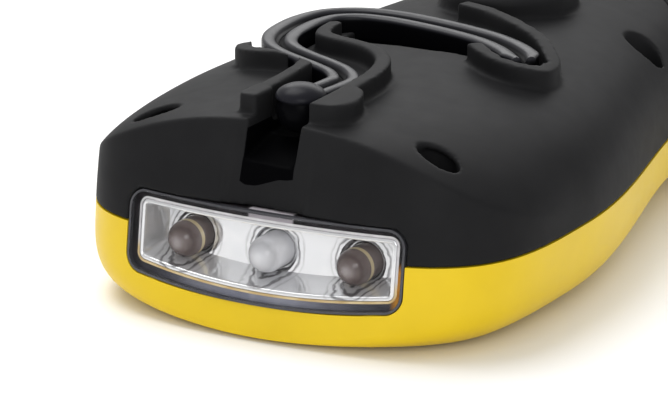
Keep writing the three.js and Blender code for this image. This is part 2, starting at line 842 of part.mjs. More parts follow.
function pushButton() {
  const edge = 0.8;
  const profile = [
    [0, buttonFace], [buttonRadius - edge, buttonFace], [buttonRadius, buttonFace + edge],
    [buttonRadius, flangeBase], [buttonRadius + buttonFlange, flangeBase], [buttonRadius + buttonFlange, flangeTop],
    [buttonStemRadius, flangeTop], [buttonStemRadius, stemTop], [0, stemTop],
  ];
  return turnedZ(profile, 0, buttonY, roundSteps);
}

function buttonPads() {
  const y0 = buttonY - padLength / 2;
  const top = buttonBoardBase - fit;
  return joined([-padX - padWidth, padX].map((x) => box(x, x + padWidth, y0, y0 + padLength, -far, top)));
}

function buttonSwitch() {
  const half = switchSize / 2;
  return box(-half, half, buttonY - half, buttonY + half, switchBase, switchBase + switchHeight);
}

function buttonBoard() {
  const half = buttonBoardHalfWidth;
  const y0 = buttonY - buttonBoardHalfLength;
  const y1 = buttonY + buttonBoardHalfLength;
  return box(-half, half, y0, y1, buttonBoardBase, buttonBoardBase + boardThickness);
}

function frontShell() {
  const half = outerForm.intersect(below);
  const bossHole = screwSeat - screwLength - 0.5;
  const inside = joined(
    atScrews(screwShankRadius + fit + screwPostWall, -far, -seamGap / 2),
    prismZ(workShape(wall), -far, ledgeTop),
    bayWalls(0),
    cradles(),
    buttonPads(),
  );
  const cuts = joined(
    prismZ(workShape(-workLedge), -far, 0),
    prismZ(workShape(fit), -far, windowInner + fit),
    torchOpening,
    postZ(0, buttonY, buttonRadius + fit, -far, handleFloor + 1),
    atScrews(screwShankRadius + fit, bossHole, far),
  );
  const bayTops = bayWalls(cellHeight + bayWallRise).intersect(box(-far, far, -far, far, -1, far));
  return half.subtract(innerForm).add(inside.intersect(half)).add(bayTops).subtract(cuts);
}

// A round-headed screw with a cross recess
function screw(x, y) {
  const seat = screwSeat + contactGap;
  const top = seat + screwHeadHeight;
  const edge = 0.5;
  const profile = [
    [0, seat - screwLength], [screwShankRadius, seat - screwLength + 1], [screwShankRadius, seat],
    [screwHeadRadius, seat], [screwHeadRadius, top - edge], [screwHeadRadius - edge, top], [0, top],
  ];
  const long = screwHeadRadius * 0.6;
  const short = screwHeadRadius * 0.16;
  const z = top - screwDriveDepth;
  const recess = box(x - long, x + long, y - short, y + short, z, far)
    .add(box(x - short, x + short, y - long, y + long, z, far));
  return turnedZ(profile, x, y, tinySteps).subtract(recess);
}

// The object's box stands over the origin, from the torch window's foot to the tail
const frontY = noseY - torchProud + noseLean(torchBottom - torchBottomSag);
const group = new THREE.Group();
group.position.set(0, -(frontY + length) / 2, frontDepth);

const finishes = {
  black: { color: 0x242424, roughness: 0.62, metalness: 0 },
  gloss_black: { color: 0x151518, roughness: 0.2, metalness: 0 },
  yellow: { color: 0xe8c43c, roughness: 0.38, metalness: 0 },
  clear: { color: 0xdfe4e8, roughness: 0.06, metalness: 0, transparent: true, opacity: 0.35 },
  chrome: { color: 0xe6e8ea, roughness: 0.08, metalness: 1 },
  board: { color: 0x2f6b3c, roughness: 0.6, metalness: 0 },
  steel: { color: 0xb9bcc0, roughness: 0.3, metalness: 1 },
  cell: { color: 0x5f6f86, roughness: 0.4, metalness: 0.3 },
};

function addPart(name, finish, solid) {
  const material = new THREE.MeshStandardMaterial(finishes[finish]);
  const mesh = new THREE.Mesh(geometryOf(solid), material);
  mesh.name = name;
  group.add(mesh);
}

const numbered = (name, i) => `${name}_${String(i + 1).padStart(2, '0')}`;

addPart('back_shell', 'black', backShell());
addPart('front_shell', 'yellow', frontShell());
addPart('battery_cover', 'black', batteryCover());
addPart('hook', 'gloss_black', hook());
addPart('magnet', 'steel', postZ(0, bossY, magnetRadius, bossTop - magnetThickness, bossTop));

const torchTip = noseY + torchLensBack + clearance;
addPart('torch_lens', 'clear', torchLens());
addPart('torch_reflector', 'chrome', torchReflector());
addPart('torch_led_left', 'clear', torchLed(-torchPitch, torchTip + 0.8));
addPart('torch_led_middle', 'clear', torchLed(0, torchTip));
addPart('torch_led_right', 'clear', torchLed(torchPitch, torchTip + 0.8));
addPart('torch_board', 'board', torchBoard());

addPart('work_window', 'clear', prismZ(workShape(0), windowOuter, windowInner));
addPart('work_reflector', 'chrome', workTray());
addPart('work_board', 'board', workBoard());
workPlaces.forEach(([x, y], i) => addPart(numbered('work_led', i), 'clear', workLed(x, y)));

addPart('push_button', 'black', pushButton());
addPart('button_switch', 'steel', buttonSwitch());
addPart('button_board', 'board', buttonBoard());

cellPlaces.forEach((place, i) => {
  addPart(numbered('battery_cell', i), 'cell', cell(place));
  addPart(numbered('battery_spring', i), 'steel', spring(place));
});
addPart('contact_front_single', 'steel', contact(-1, -1, frontContactY));
addPart('contact_front_pair', 'steel', contact(0, 1, frontContactY));
addPart('contact_tail_pair', 'steel', contact(-1, 0, tailContactY));
addPart('contact_tail_single', 'steel', contact(1, 1, tailContactY));

screwPlaces.forEach(([side, x, y]) => addPart(`screw_${side}`, 'steel', screw(x, y)));

export default group;
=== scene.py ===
import json
import math

import bmesh
import bpy
import numpy as np
from mathutils import Matrix, Vector


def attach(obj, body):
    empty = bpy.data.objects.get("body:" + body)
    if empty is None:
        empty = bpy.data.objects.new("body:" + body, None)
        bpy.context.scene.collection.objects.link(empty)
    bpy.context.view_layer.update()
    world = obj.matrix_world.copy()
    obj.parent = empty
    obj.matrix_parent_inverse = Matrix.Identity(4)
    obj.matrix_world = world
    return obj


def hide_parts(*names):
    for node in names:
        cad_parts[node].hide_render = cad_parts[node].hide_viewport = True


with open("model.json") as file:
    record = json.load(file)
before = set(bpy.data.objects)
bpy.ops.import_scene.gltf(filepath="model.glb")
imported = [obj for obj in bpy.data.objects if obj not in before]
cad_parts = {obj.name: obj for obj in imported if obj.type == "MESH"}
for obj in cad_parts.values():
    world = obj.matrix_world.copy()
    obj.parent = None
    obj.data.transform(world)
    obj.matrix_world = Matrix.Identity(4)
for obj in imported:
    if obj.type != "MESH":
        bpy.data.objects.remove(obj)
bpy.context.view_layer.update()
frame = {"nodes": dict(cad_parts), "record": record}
nodes = frame["nodes"]
scene = bpy.context.scene

# The part's lengths are millimetres: y runs from the nose to the tail, z from the parting plane to the back
MM = 0.001
ORIGIN = np.array([0.0, -102.876, 13.0])
# Reach of the cutting forms, well past the casing
FAR = 60
# Angle left open at the pole of a turned dome
POLE = 0.02

# Camera
AZIMUTH = 0.49920149882808357
ELEVATION = 0.2981317901027764
ROLL = 0.0037383708903699496
CAMERA_OFFSET = (-11.364246, -6.807760)
CAMERA_DISTANCE = 648.596042
LENS = 260.56
SENSOR = 36

# Casing form
LENGTH = 205
NOSE_Y = 2.4
HEAD_MIDDLE_Y = 34
HEAD_HALF_WIDTH = 33.998
HEAD_POWER = 3.7
NECK_Y = 94
HANDLE_HALF_WIDTH = 24.6
TAIL_START_Y = 176
TAIL_POWER = 2.4
TAIL_END_HEIGHT = 0.55
CROWN = (16.2, 17, 14)
CROWN_POWERS = (2.4, 2.9)
DOME_AHEAD = 5
BELLY = (12.4, 13.7, 12.3, 13.5)
BELLY_POWERS = (4.2, 3.2)
LEAN_SLOPE = 0.12
LEAN_CURVE = 0.0115
LEAN_LENGTH = 30
FRONT_DEPTH = 13
SEAM = 0.05
# Distance of the first and the last section from the very ends
END_GAPS = (0.02, 0.021)
# Thickness of the smooth outer skin
SKIN = 0.9
# How far inside the outside the solid's own walls are trimmed, and the steps of the form that trims them
CORE_INSET = 0.4
CORE_STEPS = (160, 50, 50, 20)
# Pitch of the remesh that rounds the edges, and the rounds of smoothing after it
VOXEL = 0.3
RELAX_ROUNDS = 6

# Torch window
WINDOW_HALF_WIDTH = 21.3
WINDOW_TOP = 4.8
WINDOW_BOTTOM = -6.7
WINDOW_SAG = 1.2
WINDOW_CORNER = 2.6
WINDOW_RADIUS = 108
WINDOW_PROUD = 0.7
WINDOW_FIT = 0.15
WINDOW_HOLE_DEPTH = 6.6
LED_PITCH = 13.1
LED_ASIDE = -0.4
LED_HEIGHT = -1.9
LED_RADIUS = 2.55
LED_TIP = 3.0
LED_SIDE_STEP = 0.8
LED_FOOT = 13.6
LED_FLANGE = 0.4
LENS_ROUND = 0.8
BORDER = 1.5
RIM_LINE = 0.3
TRAY_INSET = 3.3
TRAY_DEPTH = 5.6
TRAY_SHOULDER = (0.75, 1.1)
TRAY_WALL = 3.4
CUP_RADIUS = 3.4
CUP_HOLE = 2.7
CUP_DEPTH = 0.9

# How far the form that cuts a cup reaches before and behind the tray's floor
CUP_REACH = (0.6, 6)
# How far ahead of a lamp's foot its flange starts to widen, and where it is full
LED_FLANGE_STEPS = (1.1, 1)
# Angle left open at the tip of a lamp, and the smallest corner of a window outline
LED_POLE = 0.05
LEAST_CORNER = 0.5

# Pairs of (outward of the window's outline, depth behind the nose face)
LENS_BACK = [(0, 0.2), (-0.2, 0.4)]
# Pairs of (inward of the border, depth behind the nose face)
TRAY_LIP = [(0.7, 0.8), (0.62, 0.62), (0.48, 0.52), (0.3, 0.5), (0.12, 0.56), (0.0, 0.8)]
# Rings as outer edge, inner edge, front and back
LENS_EDGE_RING = (-0.02, -0.35, -0.45, 0.3)
BORDER_RING = (-0.05, -BORDER + RIM_LINE, 0.6, 1.6)
RIM_RING = (-BORDER + RIM_LINE, -BORDER, 0.58, 1.5)

# Work window and button underneath
WORK_Y = (12.6, 65)
WORK_HALF_WIDTH = 20
WORK_CORNER = 13
WORK_RECESS_TOP = -10.75
BUTTON_Y = 104
BUTTON_HOLE = 6.35
BUTTON_HOLE_TOP = -9.2

# Hook, rims and pocket
BALL_Y = 14.2
BALL_Z = 16.5
BALL_RADIUS = 3.6
BALL_PLAY = 0.45
BALL_SHRINK = 0.15
BALL_WAIST = 1.98
CAP_RADIUS = 3.5
CAP_BASE = 1.65
CAP_RISE = 0.1
HOOK_WIDTH = 5.6
HOOK_TOP = 18.5
HOOK_THICKNESS = 4.1
HOOK_UNDERSIDE = 0.9
HOOK_CHAMFER = 0.25
HOOK_SHOULDER = 1.0
HOOK_RIDGE = 0.55
HOOK_GROOVE = 1.3
HOOK_GROOVE_DEPTH = 1.0
HOOK_GROOVE_STEP = 0.2
HOOK_GROOVE_CLOSING = 0.95
HOOK_NECK_SLIMMING = 0.2
HOOK_NECK_SHARES = (0.3, 0.5)
HOOK_TIP_SLIMMING = 0.4
HOOK_TIP_SHARE = 0.955
HOOK_START = 0.3
HOOK_CLEARANCE = 0.5
CHANNEL_DROP = 0.3
CHANNEL_FLOOR = HOOK_TOP - HOOK_THICKNESS - CHANNEL_DROP
SLOT_HALF_WIDTH = 3.75
SLOT_LEFT_ROOM = 0.5
SLOT_FLOOR = 10.4
SLOT_MOUTH = 2
SLOT_MOUTH_DROP = 1.4
SLOT_SCOOP = 0.25
RIM_HEIGHT = 2.8
RIM_ROOT = 11
RIM_WIDTH = 2.3
POCKET_FLOOR = 9.3
BOSS_Y = 77
BOSS_RADIUS = 10.2
BOSS_TOP = 20.1
BOSS_EDGE = 0.8
MAGNET_HOLE = 8.15
MAGNET_SEAT = 16.25
COVER_RADIUS = 25.3
COVER_HALF_WIDTH = 20.6
COVER_FIT = 0.15
COVER_SPLIT = 9.6
REAR_SCREWS = [(-21.2, 78.3), (21.2, 78.3)]
FRONT_HOLE = (21.8, 12.7)
FRONT_HOLE_REACH = (3.3, 2.0)
FRONT_HOLE_TURN = -0.2
SCREW_HOLE = 2.8
SCREW_SEAT = 3

HOOK_PATH = [
    (0, BALL_Y), (0.3, 18), (0.7, 21.6), (0.6, 25), (-1.6, 28), (-5, 30.2), (-9, 32.2), (-13.1, 34.5),
    (-16.2, 37.4), (-18.1, 41.2), (-18.8, 45.6), (-18.7, 50), (-17.3, 54.2), (-13.6, 56.9), (-8.6, 57.6),
    (-2.8, 56.9), (3.2, 55.5), (8.4, 53.7), (12.6, 51.3), (15.8, 48.6), (18, 45.8),
]
RIMS = [
    [(-5.6, 13), (-5.8, 17), (-6, 21), (-6.3, 25.4), (-7.2, 29), (-9.6, 30.7), (-12.8, 31.2), (-16.6, 31.5),
     (-19.6, 33), (-21.5, 36.4)],
    [(4.6, 18.6), (4.6, 22), (4.5, 25.8), (3.8, 29.6), (2.5, 33.1), (0.4, 35.9), (-2.5, 38.1), (-5.7, 39.3),
     (-9.2, 40.4), (-11.6, 41.8), (-12.8, 44.4), (-13.2, 48.4)],
    [(-1.2, 64.4), (4.3, 62.6), (9.7, 59.6), (15.1, 56.1), (18.9, 52), (21.2, 48.2), (21.4, 44.6),
     (18.8, 42.7), (15.8, 42.8), (12.6, 44.4), (9.6, 47)],
]
BLOCKS = [
    [(-SLOT_HALF_WIDTH, 9.2), (-7, 9.8), (-7.3, 12.6), (-6.8, 15.8), (-SLOT_HALF_WIDTH, 16)],
    [(SLOT_HALF_WIDTH, 9.4), (7, 10), (8.8, 13.4), (6.6, 19.4), (SLOT_HALF_WIDTH, 19.4)],
]
NECK_ROOM = [(-2.4, BALL_Y), (-2.6, 20), (-2.9, 25), (-3.2, 28.6)]
NECK_ROOM_WIDTH = 4.6
POCKET = [(-12.8, 48.2), (8.4, 49.1), (8.4, 55.5)]
POCKET_BOW = (-2.2, 60.4)
POCKET_END = (-12.8, 57.3)

# Bounds of the bare moulding in the slot, the channel and the pocket, painted near black as painted shade of
# these recesses
BARE_SHADE_TOP = 14.9
BARE_SHADE_HALF_WIDTH = 19.0
BARE_SHADE_Y = (5.0, 62.0)
BARE_SHADE_WIDE_FROM_Y = 23.0
BARE_SHADE_SLOT_MARGIN = 0.12


def place_camera():
    sa, ca = math.sin(AZIMUTH), math.cos(AZIMUTH)
    se, ce = math.sin(ELEVATION), math.cos(ELEVATION)
    right = np.array([ca, sa, 0.0])
    back = np.array([sa * ce, -ca * ce, se])
    up = np.cross(back, right)
    ex = right * math.cos(ROLL) + up * math.sin(ROLL)
    ey = -right * math.sin(ROLL) + up * math.cos(ROLL)
    centre = -CAMERA_OFFSET[0] * ex - CAMERA_OFFSET[1] * ey + CAMERA_DISTANCE * back + ORIGIN
    camera = bpy.data.objects.new("camera", bpy.data.cameras.new("camera"))
    scene.collection.objects.link(camera)
    matrix = Matrix.Identity(4)
    for row in range(3):
        matrix[row][0], matrix[row][1], matrix[row][2] = ex[row], ey[row], back[row]
        matrix[row][3] = centre[row] * MM
    camera.matrix_world = matrix
    camera.data.lens = LENS
    camera.data.sensor_width = SENSOR
    camera.data.clip_start = 0.05
    camera.data.clip_end = 20
    scene.camera = camera


# Meshes
def make_object(name, points, faces):
    mesh = bpy.data.meshes.new(name)
    placed = (np.asarray(points, dtype=float) + ORIGIN) * MM
    mesh.from_pydata(placed.tolist(), [], [tuple(int(i) for i in face) for face in faces])
    mesh.validate()
    form = bmesh.new()
    form.from_mesh(mesh)
    bmesh.ops.recalc_face_normals(form, faces=form.faces)
    form.to_mesh(mesh)
    form.free()
    mesh.shade_smooth()
    obj = bpy.data.objects.new(name, mesh)
    scene.collection.objects.link(obj)
    return obj


def loft(name, rings):
    """A closed solid through rings of equal length, capped at both ends."""
    around = len(rings[0])
    points = np.concatenate(rings)
    faces = []
    for row in range(len(rings) - 1):
        for i in range(around):
            a, b = row * around + i, row * around + (i + 1) % around
            faces.append((a, b, b + around, a + around))
    last = (len(rings) - 1) * around
    faces.append(tuple(range(around))[::-1])
    faces.append(tuple(range(last, last + around)))
    return make_object(name, points, faces)


def prism_z(name, outline, low, high):
    outline = np.asarray(outline, dtype=float)
    rings = [np.column_stack([outline, np.full(len(outline), z)]) for z in (low, high)]
    return loft(name, rings)


def prism_x(name, outline, low, high):
    outline = np.asarray(outline, dtype=float)
    rings = [np.column_stack([np.full(len(outline), x), outline]) for x in (low, high)]
    return loft(name, rings)


def prism_y(name, outline, low, high):
    outline = np.asarray(outline, dtype=float)
    rings = [np.column_stack([outline[:, 0], np.full(len(outline), y), outline[:, 1]]) for y in (low, high)]
    return loft(name, rings)


def circle(x, y, radius, steps):
    turn = np.linspace(0, 2 * math.pi, steps, endpoint=False)
    return np.column_stack([x + radius * np.cos(turn), y + radius * np.sin(turn)])


def turned_z(name, profile, x, y, steps=72):
    """Revolved about the z direction: profile points are (radius, z)."""
    rings = []
    for radius, z in profile:
        ring = circle(x, y, radius, steps)
        rings.append(np.column_stack([ring, np.full(steps, z)]))
    return loft(name, rings)


def turned_y(name, profile, x, z, steps=48):
    """Revolved about the y direction: profile points are (radius, y)."""
    rings = []
    for radius, y in profile:
        ring = circle(x, z, radius, steps)
        rings.append(np.column_stack([ring[:, 0], np.full(steps, y), ring[:, 1]]))
    return loft(name, rings)


def bake(obj):
    """Puts the result of the modifiers in the object's own mesh."""
    depsgraph = bpy.context.evaluated_depsgraph_get()
    mesh = bpy.data.meshes.new_from_object(obj.evaluated_get(depsgraph))
    old = obj.data
    obj.modifiers.clear()
    obj.data = mesh
    bpy.data.meshes.remove(old)
    mesh.name = obj.name


def combine(obj, others, operation):
    for other in others:
        modifier = obj.modifiers.new("combine", "BOOLEAN")
        modifier.operation = operation
        modifier.solver = "MANIFOLD"
        modifier.object = other
    bake(obj)
    for other in others:
        bpy.data.objects.remove(other, do_unlink=True)
    return obj


def soften(obj):
    """Rounds every edge a little, as a moulding has it."""
    remesh = obj.modifiers.new("remesh", "REMESH")
    remesh.mode = "VOXEL"
    remesh.voxel_size = VOXEL * MM
    remesh.use_smooth_shade = True
    relax = obj.modifiers.new("relax", "SMOOTH")
    relax.factor = 0.5
    relax.iterations = RELAX_ROUNDS
    bake(obj)
    obj.data.shade_smooth()
    return obj


def crisp(obj, degrees=35):
    """Smooth faces with sharp edges between those that meet at more than an angle."""
    obj.data.shade_smooth()
    obj.data.set_sharp_from_angle(angle=math.radians(degrees))
    return obj


def copy_of(node):
    """A copy of a solid with its doubled corners joined."""
    obj = bpy.data.objects.new("copy_" + node, nodes[node].data.copy())
    scene.collection.objects.link(obj)
    form = bmesh.new()
    form.from_mesh(obj.data)
    bmesh.ops.remove_doubles(form, verts=form.verts, dist=1e-7)
    form.to_mesh(obj.data)
    form.free()
    return obj


# Formulas of the casing
def mix(a, b, t):
    return a + (b - a) * t


def ease(value, start, end):
    t = np.clip((value - start) / (end - start), 0, 1)
    return t * t * (3 - 2 * t)


def rounded(t, power):
    return (1 - min(1.0, abs(t)) ** power) ** (1 / power)


def nose_lean(z):
    z = np.asarray(z, dtype=float)
    return LEAN_SLOPE * z + np.where(z > 0, LEAN_CURVE * z * z, 0)


def tail_turn(y, inset):
    return rounded((y - TAIL_START_Y) / (LENGTH - inset - TAIL_START_Y), TAIL_POWER)


def half_width_at(y, inset):
    if y < HEAD_MIDDLE_Y:
        reach = HEAD_MIDDLE_Y - NOSE_Y - inset
        return (HEAD_HALF_WIDTH - inset) * rounded((HEAD_MIDDLE_Y - y) / reach, HEAD_POWER)
    body = mix(HEAD_HALF_WIDTH, HANDLE_HALF_WIDTH, ease(y, HEAD_MIDDLE_Y, NECK_Y)) - inset
    return body if y < TAIL_START_Y else body * tail_turn(y, inset)


def tail_height(y, inset):
    return 1 if y < TAIL_START_Y else mix(TAIL_END_HEIGHT, 1, tail_turn(y, inset))


def crown_at(y, inset):
    head = mix(CROWN[0], CROWN[1], ease(y, NOSE_Y, BOSS_Y))
    return mix(head, CROWN[2], ease(y, NECK_Y, TAIL_START_Y)) * tail_height(y, inset) - inset


def belly_at(y, inset):
    head = mix(BELLY[0], BELLY[1], ease(y, NOSE_Y, NOSE_Y + BELLY[1]))
    neck = mix(head, BELLY[2], ease(y, HEAD_MIDDLE_Y, NECK_Y))
    return mix(neck, BELLY[3], ease(y, NECK_Y, TAIL_START_Y)) * tail_height(y, inset) - inset


def casing_section(y, inset, steps):
    half = half_width_at(y, inset)
    dome_half = half_width_at(min(y + DOME_AHEAD, HEAD_MIDDLE_Y), inset) if y < HEAD_MIDDLE_Y else half
    crown_power = mix(CROWN_POWERS[0], CROWN_POWERS[1], ease(y, NOSE_Y, HEAD_MIDDLE_Y))
    belly_power = mix(BELLY_POWERS[0], BELLY_POWERS[1], ease(y, HEAD_MIDDLE_Y, NECK_Y))
    start = NOSE_Y + inset
    fade = 1 - ease(y, start, start + LEAN_LENGTH)
    angle = np.arange(steps) / steps * 2 * math.pi
    c, s = np.cos(angle), np.sin(angle)
    power = np.where(s >= 0, crown_power, belly_power)
    reach = np.where(s > 0, dome_half, half) * np.abs(c) ** (2 / power)
    x = np.minimum(reach, half) * np.sign(c)
    height = np.where(s >= 0, crown_at(y, inset), belly_at(y, inset))
    z = height * np.sign(s) * np.abs(s) ** (2 / power)
    return np.column_stack([x, y + nose_lean(z) * fade, z])


def casing_form(name, inset, steps=200, nose_rows=70, body_rows=70, tail_rows=30):
    """The casing's outside, or a form an inset inside it."""
    start = NOSE_Y + inset + END_GAPS[0]
    end = LENGTH - inset - END_GAPS[1]
    quarter = math.pi / 2
    stations = [mix(start, HEAD_MIDDLE_Y, 1 - math.cos(i / nose_rows * quarter)) for i in range(nose_rows)]
    stations += [mix(HEAD_MIDDLE_Y, TAIL_START_Y, i / body_rows) for i in range(body_rows)]
    stations += [mix(TAIL_START_Y, end, math.sin(i / tail_rows * quarter)) for i in range(tail_rows + 1)]
    return loft(name, [casing_section(y, inset, steps) for y in stations])


def skin(name):
    """A thin hollow form of the whole casing."""
    return combine(casing_form(name, 0), [casing_form("inner", SKIN)], "DIFFERENCE")


def core_of(node):
    """A solid's walls, ribs and seats, trimmed to lie inside the smooth skin."""
    return combine(copy_of(node), [casing_form("trim", CORE_INSET, *CORE_STEPS)], "INTERSECT")


def block(name, low, high):
    corners = [(low[0], low[1]), (high[0], low[1]), (high[0], high[1]), (low[0], high[1])]
    return prism_z(name, corners, low[2], high[2])


def upper_half(name):
    return block(name, (-FAR, -FAR, SEAM), (FAR, LENGTH + FAR, FAR))


def lower_half(name):
    return block(name, (-FAR, -FAR, -FRONT_DEPTH), (FAR, LENGTH + FAR, -SEAM))


# Plan curves
def smooth_path(points, count):
    """A centripetal spline through plan points, as points and unit tangents."""
    p = np.asarray(points, dtype=float)
    p = np.vstack([2 * p[0] - p[1], p, 2 * p[-1] - p[-2]])
    out = []
    for s in np.linspace(0, len(points) - 1, count):
        i = min(int(s), len(points) - 2)
        a, b, c, d = p[i:i + 4]
        t0 = 0.0
        t1 = t0 + math.sqrt(np.linalg.norm(b - a))
        t2 = t1 + math.sqrt(np.linalg.norm(c - b))
        t3 = t2 + math.sqrt(np.linalg.norm(d - c))
        t = mix(t1, t2, s - i)
        ab = a * (t1 - t) / (t1 - t0) + b * (t - t0) / (t1 - t0)
        bc = b * (t2 - t) / (t2 - t1) + c * (t - t1) / (t2 - t1)
        cd = c * (t3 - t) / (t3 - t2) + d * (t - t2) / (t3 - t2)
        abc = ab * (t2 - t) / (t2 - t0) + bc * (t - t0) / (t2 - t0)
        bcd = bc * (t3 - t) / (t3 - t1) + cd * (t - t1) / (t3 - t1)
        out.append(abc * (t2 - t) / (t2 - t1) + bcd * (t - t1) / (t2 - t1))
    out = np.array(out)
    tangent = np.gradient(out, axis=0)
    return out, tangent / np.linalg.norm(tangent, axis=1)[:, None]


def band(points, width, count=80):
    """Outline of a strip of even width along a path."""
    centre, tangent = smooth_path(points, count)
    normal = np.column_stack([tangent[:, 1], -tangent[:, 0]])
    return np.vstack([centre + normal * width / 2, (centre - normal * width / 2)[::-1]])


def neck_share(t):
    """Share of the hook's width at a share of its path, less near the ball."""
    return 1 - HOOK_NECK_SLIMMING * (1 - ease(t, *HOOK_NECK_SHARES))


def sweep(name, points, section_at, count=220):
    """A solid along a path, with a section of (across, z) points that can change along it."""
    centre, tangent = smooth_path(points, count)
    rings = []
    for i in range(count):
        section = np.asarray(section_at(i / (count - 1)))
        x = centre[i, 0] + tangent[i, 1] * section[:, 0]
        y = centre[i, 1] - tangent[i, 0] * section[:, 0]
        rings.append(np.column_stack([x, y, section[:, 1]]))
    return loft(name, rings)


def hook_channel():
    half = HOOK_WIDTH / 2
    last, before = np.array(HOOK_PATH[-1]), np.array(HOOK_PATH[-2])
    beyond = last + (last - before) * HOOK_CLEARANCE / np.linalg.norm(last - before)

    def section(t):
        reach = half * neck_share(t) + HOOK_CLEARANCE
        return [(reach, CHANNEL_FLOOR), (reach, FAR), (-reach, FAR), (-reach, CHANNEL_FLOOR)]

    return sweep("channel", HOOK_PATH + [tuple(beyond)], section)


def slot_outline():
    """Side view of the slot: a scoop down the nose, a round seat under the ball, open above."""
    radius = BALL_RADIUS + BALL_PLAY
    seat = [(BALL_Y + radius * math.cos(a), BALL_Z + radius * math.sin(a))
            for a in np.linspace(-math.pi / 2 - SLOT_SCOOP, 0, 20)]
    scoop = [(-FAR, SLOT_FLOOR - SLOT_MOUTH_DROP), (NOSE_Y + SLOT_MOUTH, SLOT_FLOOR)]
    return scoop + seat + [(BALL_Y + radius, FAR), (-FAR, FAR)]


def pocket_outline():
    """The finger pocket: straight along the front and the right, bowed at the back."""
    t = np.linspace(0, 1, 24)[:, None]
    a, b, c = np.array(POCKET[-1]), np.array(POCKET_BOW), np.array(POCKET_END)
    curve = (1 - t) ** 2 * a + 2 * t * (1 - t) * b + t ** 2 * c
    return np.vstack([np.array(POCKET[:-1]), curve])


def cover_outline(grow):
    """The battery cover in plan: round in front of the magnet's boss, open towards the tail."""
    half, radius = COVER_HALF_WIDTH + grow, COVER_RADIUS - grow
    sweep_angle = math.asin(half / radius)
    turn = np.linspace(math.pi / 2 - sweep_angle, math.pi / 2 + sweep_angle, 60)
    arc = np.column_stack([radius * np.cos(turn), BOSS_Y + radius * np.sin(turn)])
    return np.vstack([arc, [(-half, LENGTH + FAR), (half, LENGTH + FAR)]])


def front_hole(side):
    """The oval mouth of a front screw hole, on the left for side -1 and on the right for side 1."""
    turn = np.linspace(0, 2 * math.pi, 64, endpoint=False)
    along, across = FRONT_HOLE_REACH[0] * np.cos(turn), FRONT_HOLE_REACH[1] * np.sin(turn)
    x = FRONT_HOLE[0] + along * math.cos(FRONT_HOLE_TURN) - across * math.sin(FRONT_HOLE_TURN)
    y = FRONT_HOLE[1] + along * math.sin(FRONT_HOLE_TURN) + across * math.cos(FRONT_HOLE_TURN)
    return np.column_stack([side * x, y])


# Torch window outline in x and z
def window_outline(grow, corner_steps=14, flat_steps=24):
    half = WINDOW_HALF_WIDTH + grow
    top, bottom = WINDOW_TOP + grow, WINDOW_BOTTOM - grow
    corner = max(WINDOW_CORNER + grow, LEAST_CORNER)
    flat = half - corner
    radius = (flat ** 2 + WINDOW_SAG ** 2) / (2 * WINDOW_SAG)
    swing = math.asin(flat / radius)
    quarter = math.pi / 2

    def arc(x, z, r, start, end, steps):
        turn = np.linspace(start, end, steps)
        return np.column_stack([x + r * np.cos(turn), z + r * np.sin(turn)])

    topline = np.column_stack([np.linspace(flat, -flat, flat_steps)[1:-1], np.full(flat_steps - 2, top)])
    return np.vstack([
        arc(flat, top - corner, corner, 0, quarter, corner_steps),
        topline,
        arc(-flat, top - corner, corner, quarter, 2 * quarter, corner_steps),
        arc(-flat, bottom + corner, corner, 2 * quarter, 3 * quarter, corner_steps)[:-1],
        arc(0, bottom - WINDOW_SAG + radius, radius, 3 * quarter - swing, 3 * quarter + swing, flat_steps),
        arc(flat, bottom + corner, corner, 3 * quarter, 4 * quarter, corner_steps)[1:],
    ])


def on_face(outline, depth):
    """Plan points of the window laid on the nose face, a depth behind it."""
    reach = WINDOW_RADIUS - nose_lean(outline[:, 1]) - depth
    y = NOSE_Y + WINDOW_RADIUS - np.sqrt(reach ** 2 - outline[:, 0] ** 2)
    return np.column_stack([outline[:, 0], y, outline[:, 1]])


def face_rings(grow, depth, shares):
    outline = window_outline(grow)
    middle = np.array([0, (WINDOW_TOP + WINDOW_BOTTOM) / 2])
    return [on_face(middle + (outline - middle) * share, depth) for share in shares]


SHARES = (0.02, 0.15, 0.3, 0.45, 0.6, 0.75, 0.88, 0.97)


def dish(name, steps):
    """A solid of rings on the nose face: steps are (grow, depth) from the middle of one side to the other."""
    first, last = steps[0], steps[-1]
    rings = face_rings(first[0], first[1], SHARES)
    rings += [on_face(window_outline(grow), depth) for grow, depth in steps]
    rings += face_rings(last[0], last[1], SHARES[::-1])
    return loft(name, rings)


def rounded_edge(radius, grow, depth, steps=6):
    turn = np.linspace(0, math.pi / 2, steps)
    return [(grow - radius + radius * math.sin(a), depth + radius - radius * math.cos(a)) for a in turn]


# Pieces of the casing
def raised_rims():
    """The rims and blocks round the hook, which follow the dome at an even height."""
    rims = prism_z("rims", band(RIMS[0], RIM_WIDTH), RIM_ROOT, FAR)
    others = [prism_z("rim", band(points, RIM_WIDTH), RIM_ROOT, FAR) for points in RIMS[1:]]
    others += [prism_z("block", smooth_path(points, 40)[0], RIM_ROOT, FAR) for points in BLOCKS]
    combine(rims, others, "UNION")
    raised = casing_form("raised", 0)
    raised.location.z = RIM_HEIGHT * MM
    return combine(rims, [raised], "INTERSECT")


def magnet_boss():
    edge = BOSS_TOP - BOSS_EDGE
    profile = [(BOSS_RADIUS, RIM_ROOT), (BOSS_RADIUS, edge), (BOSS_RADIUS - BOSS_EDGE, BOSS_TOP)]
    return turned_z("boss", profile, 0, BOSS_Y)


def window_hole():
    return prism_y("window_hole", window_outline(WINDOW_FIT), -FAR, NOSE_Y + WINDOW_HOLE_DEPTH)


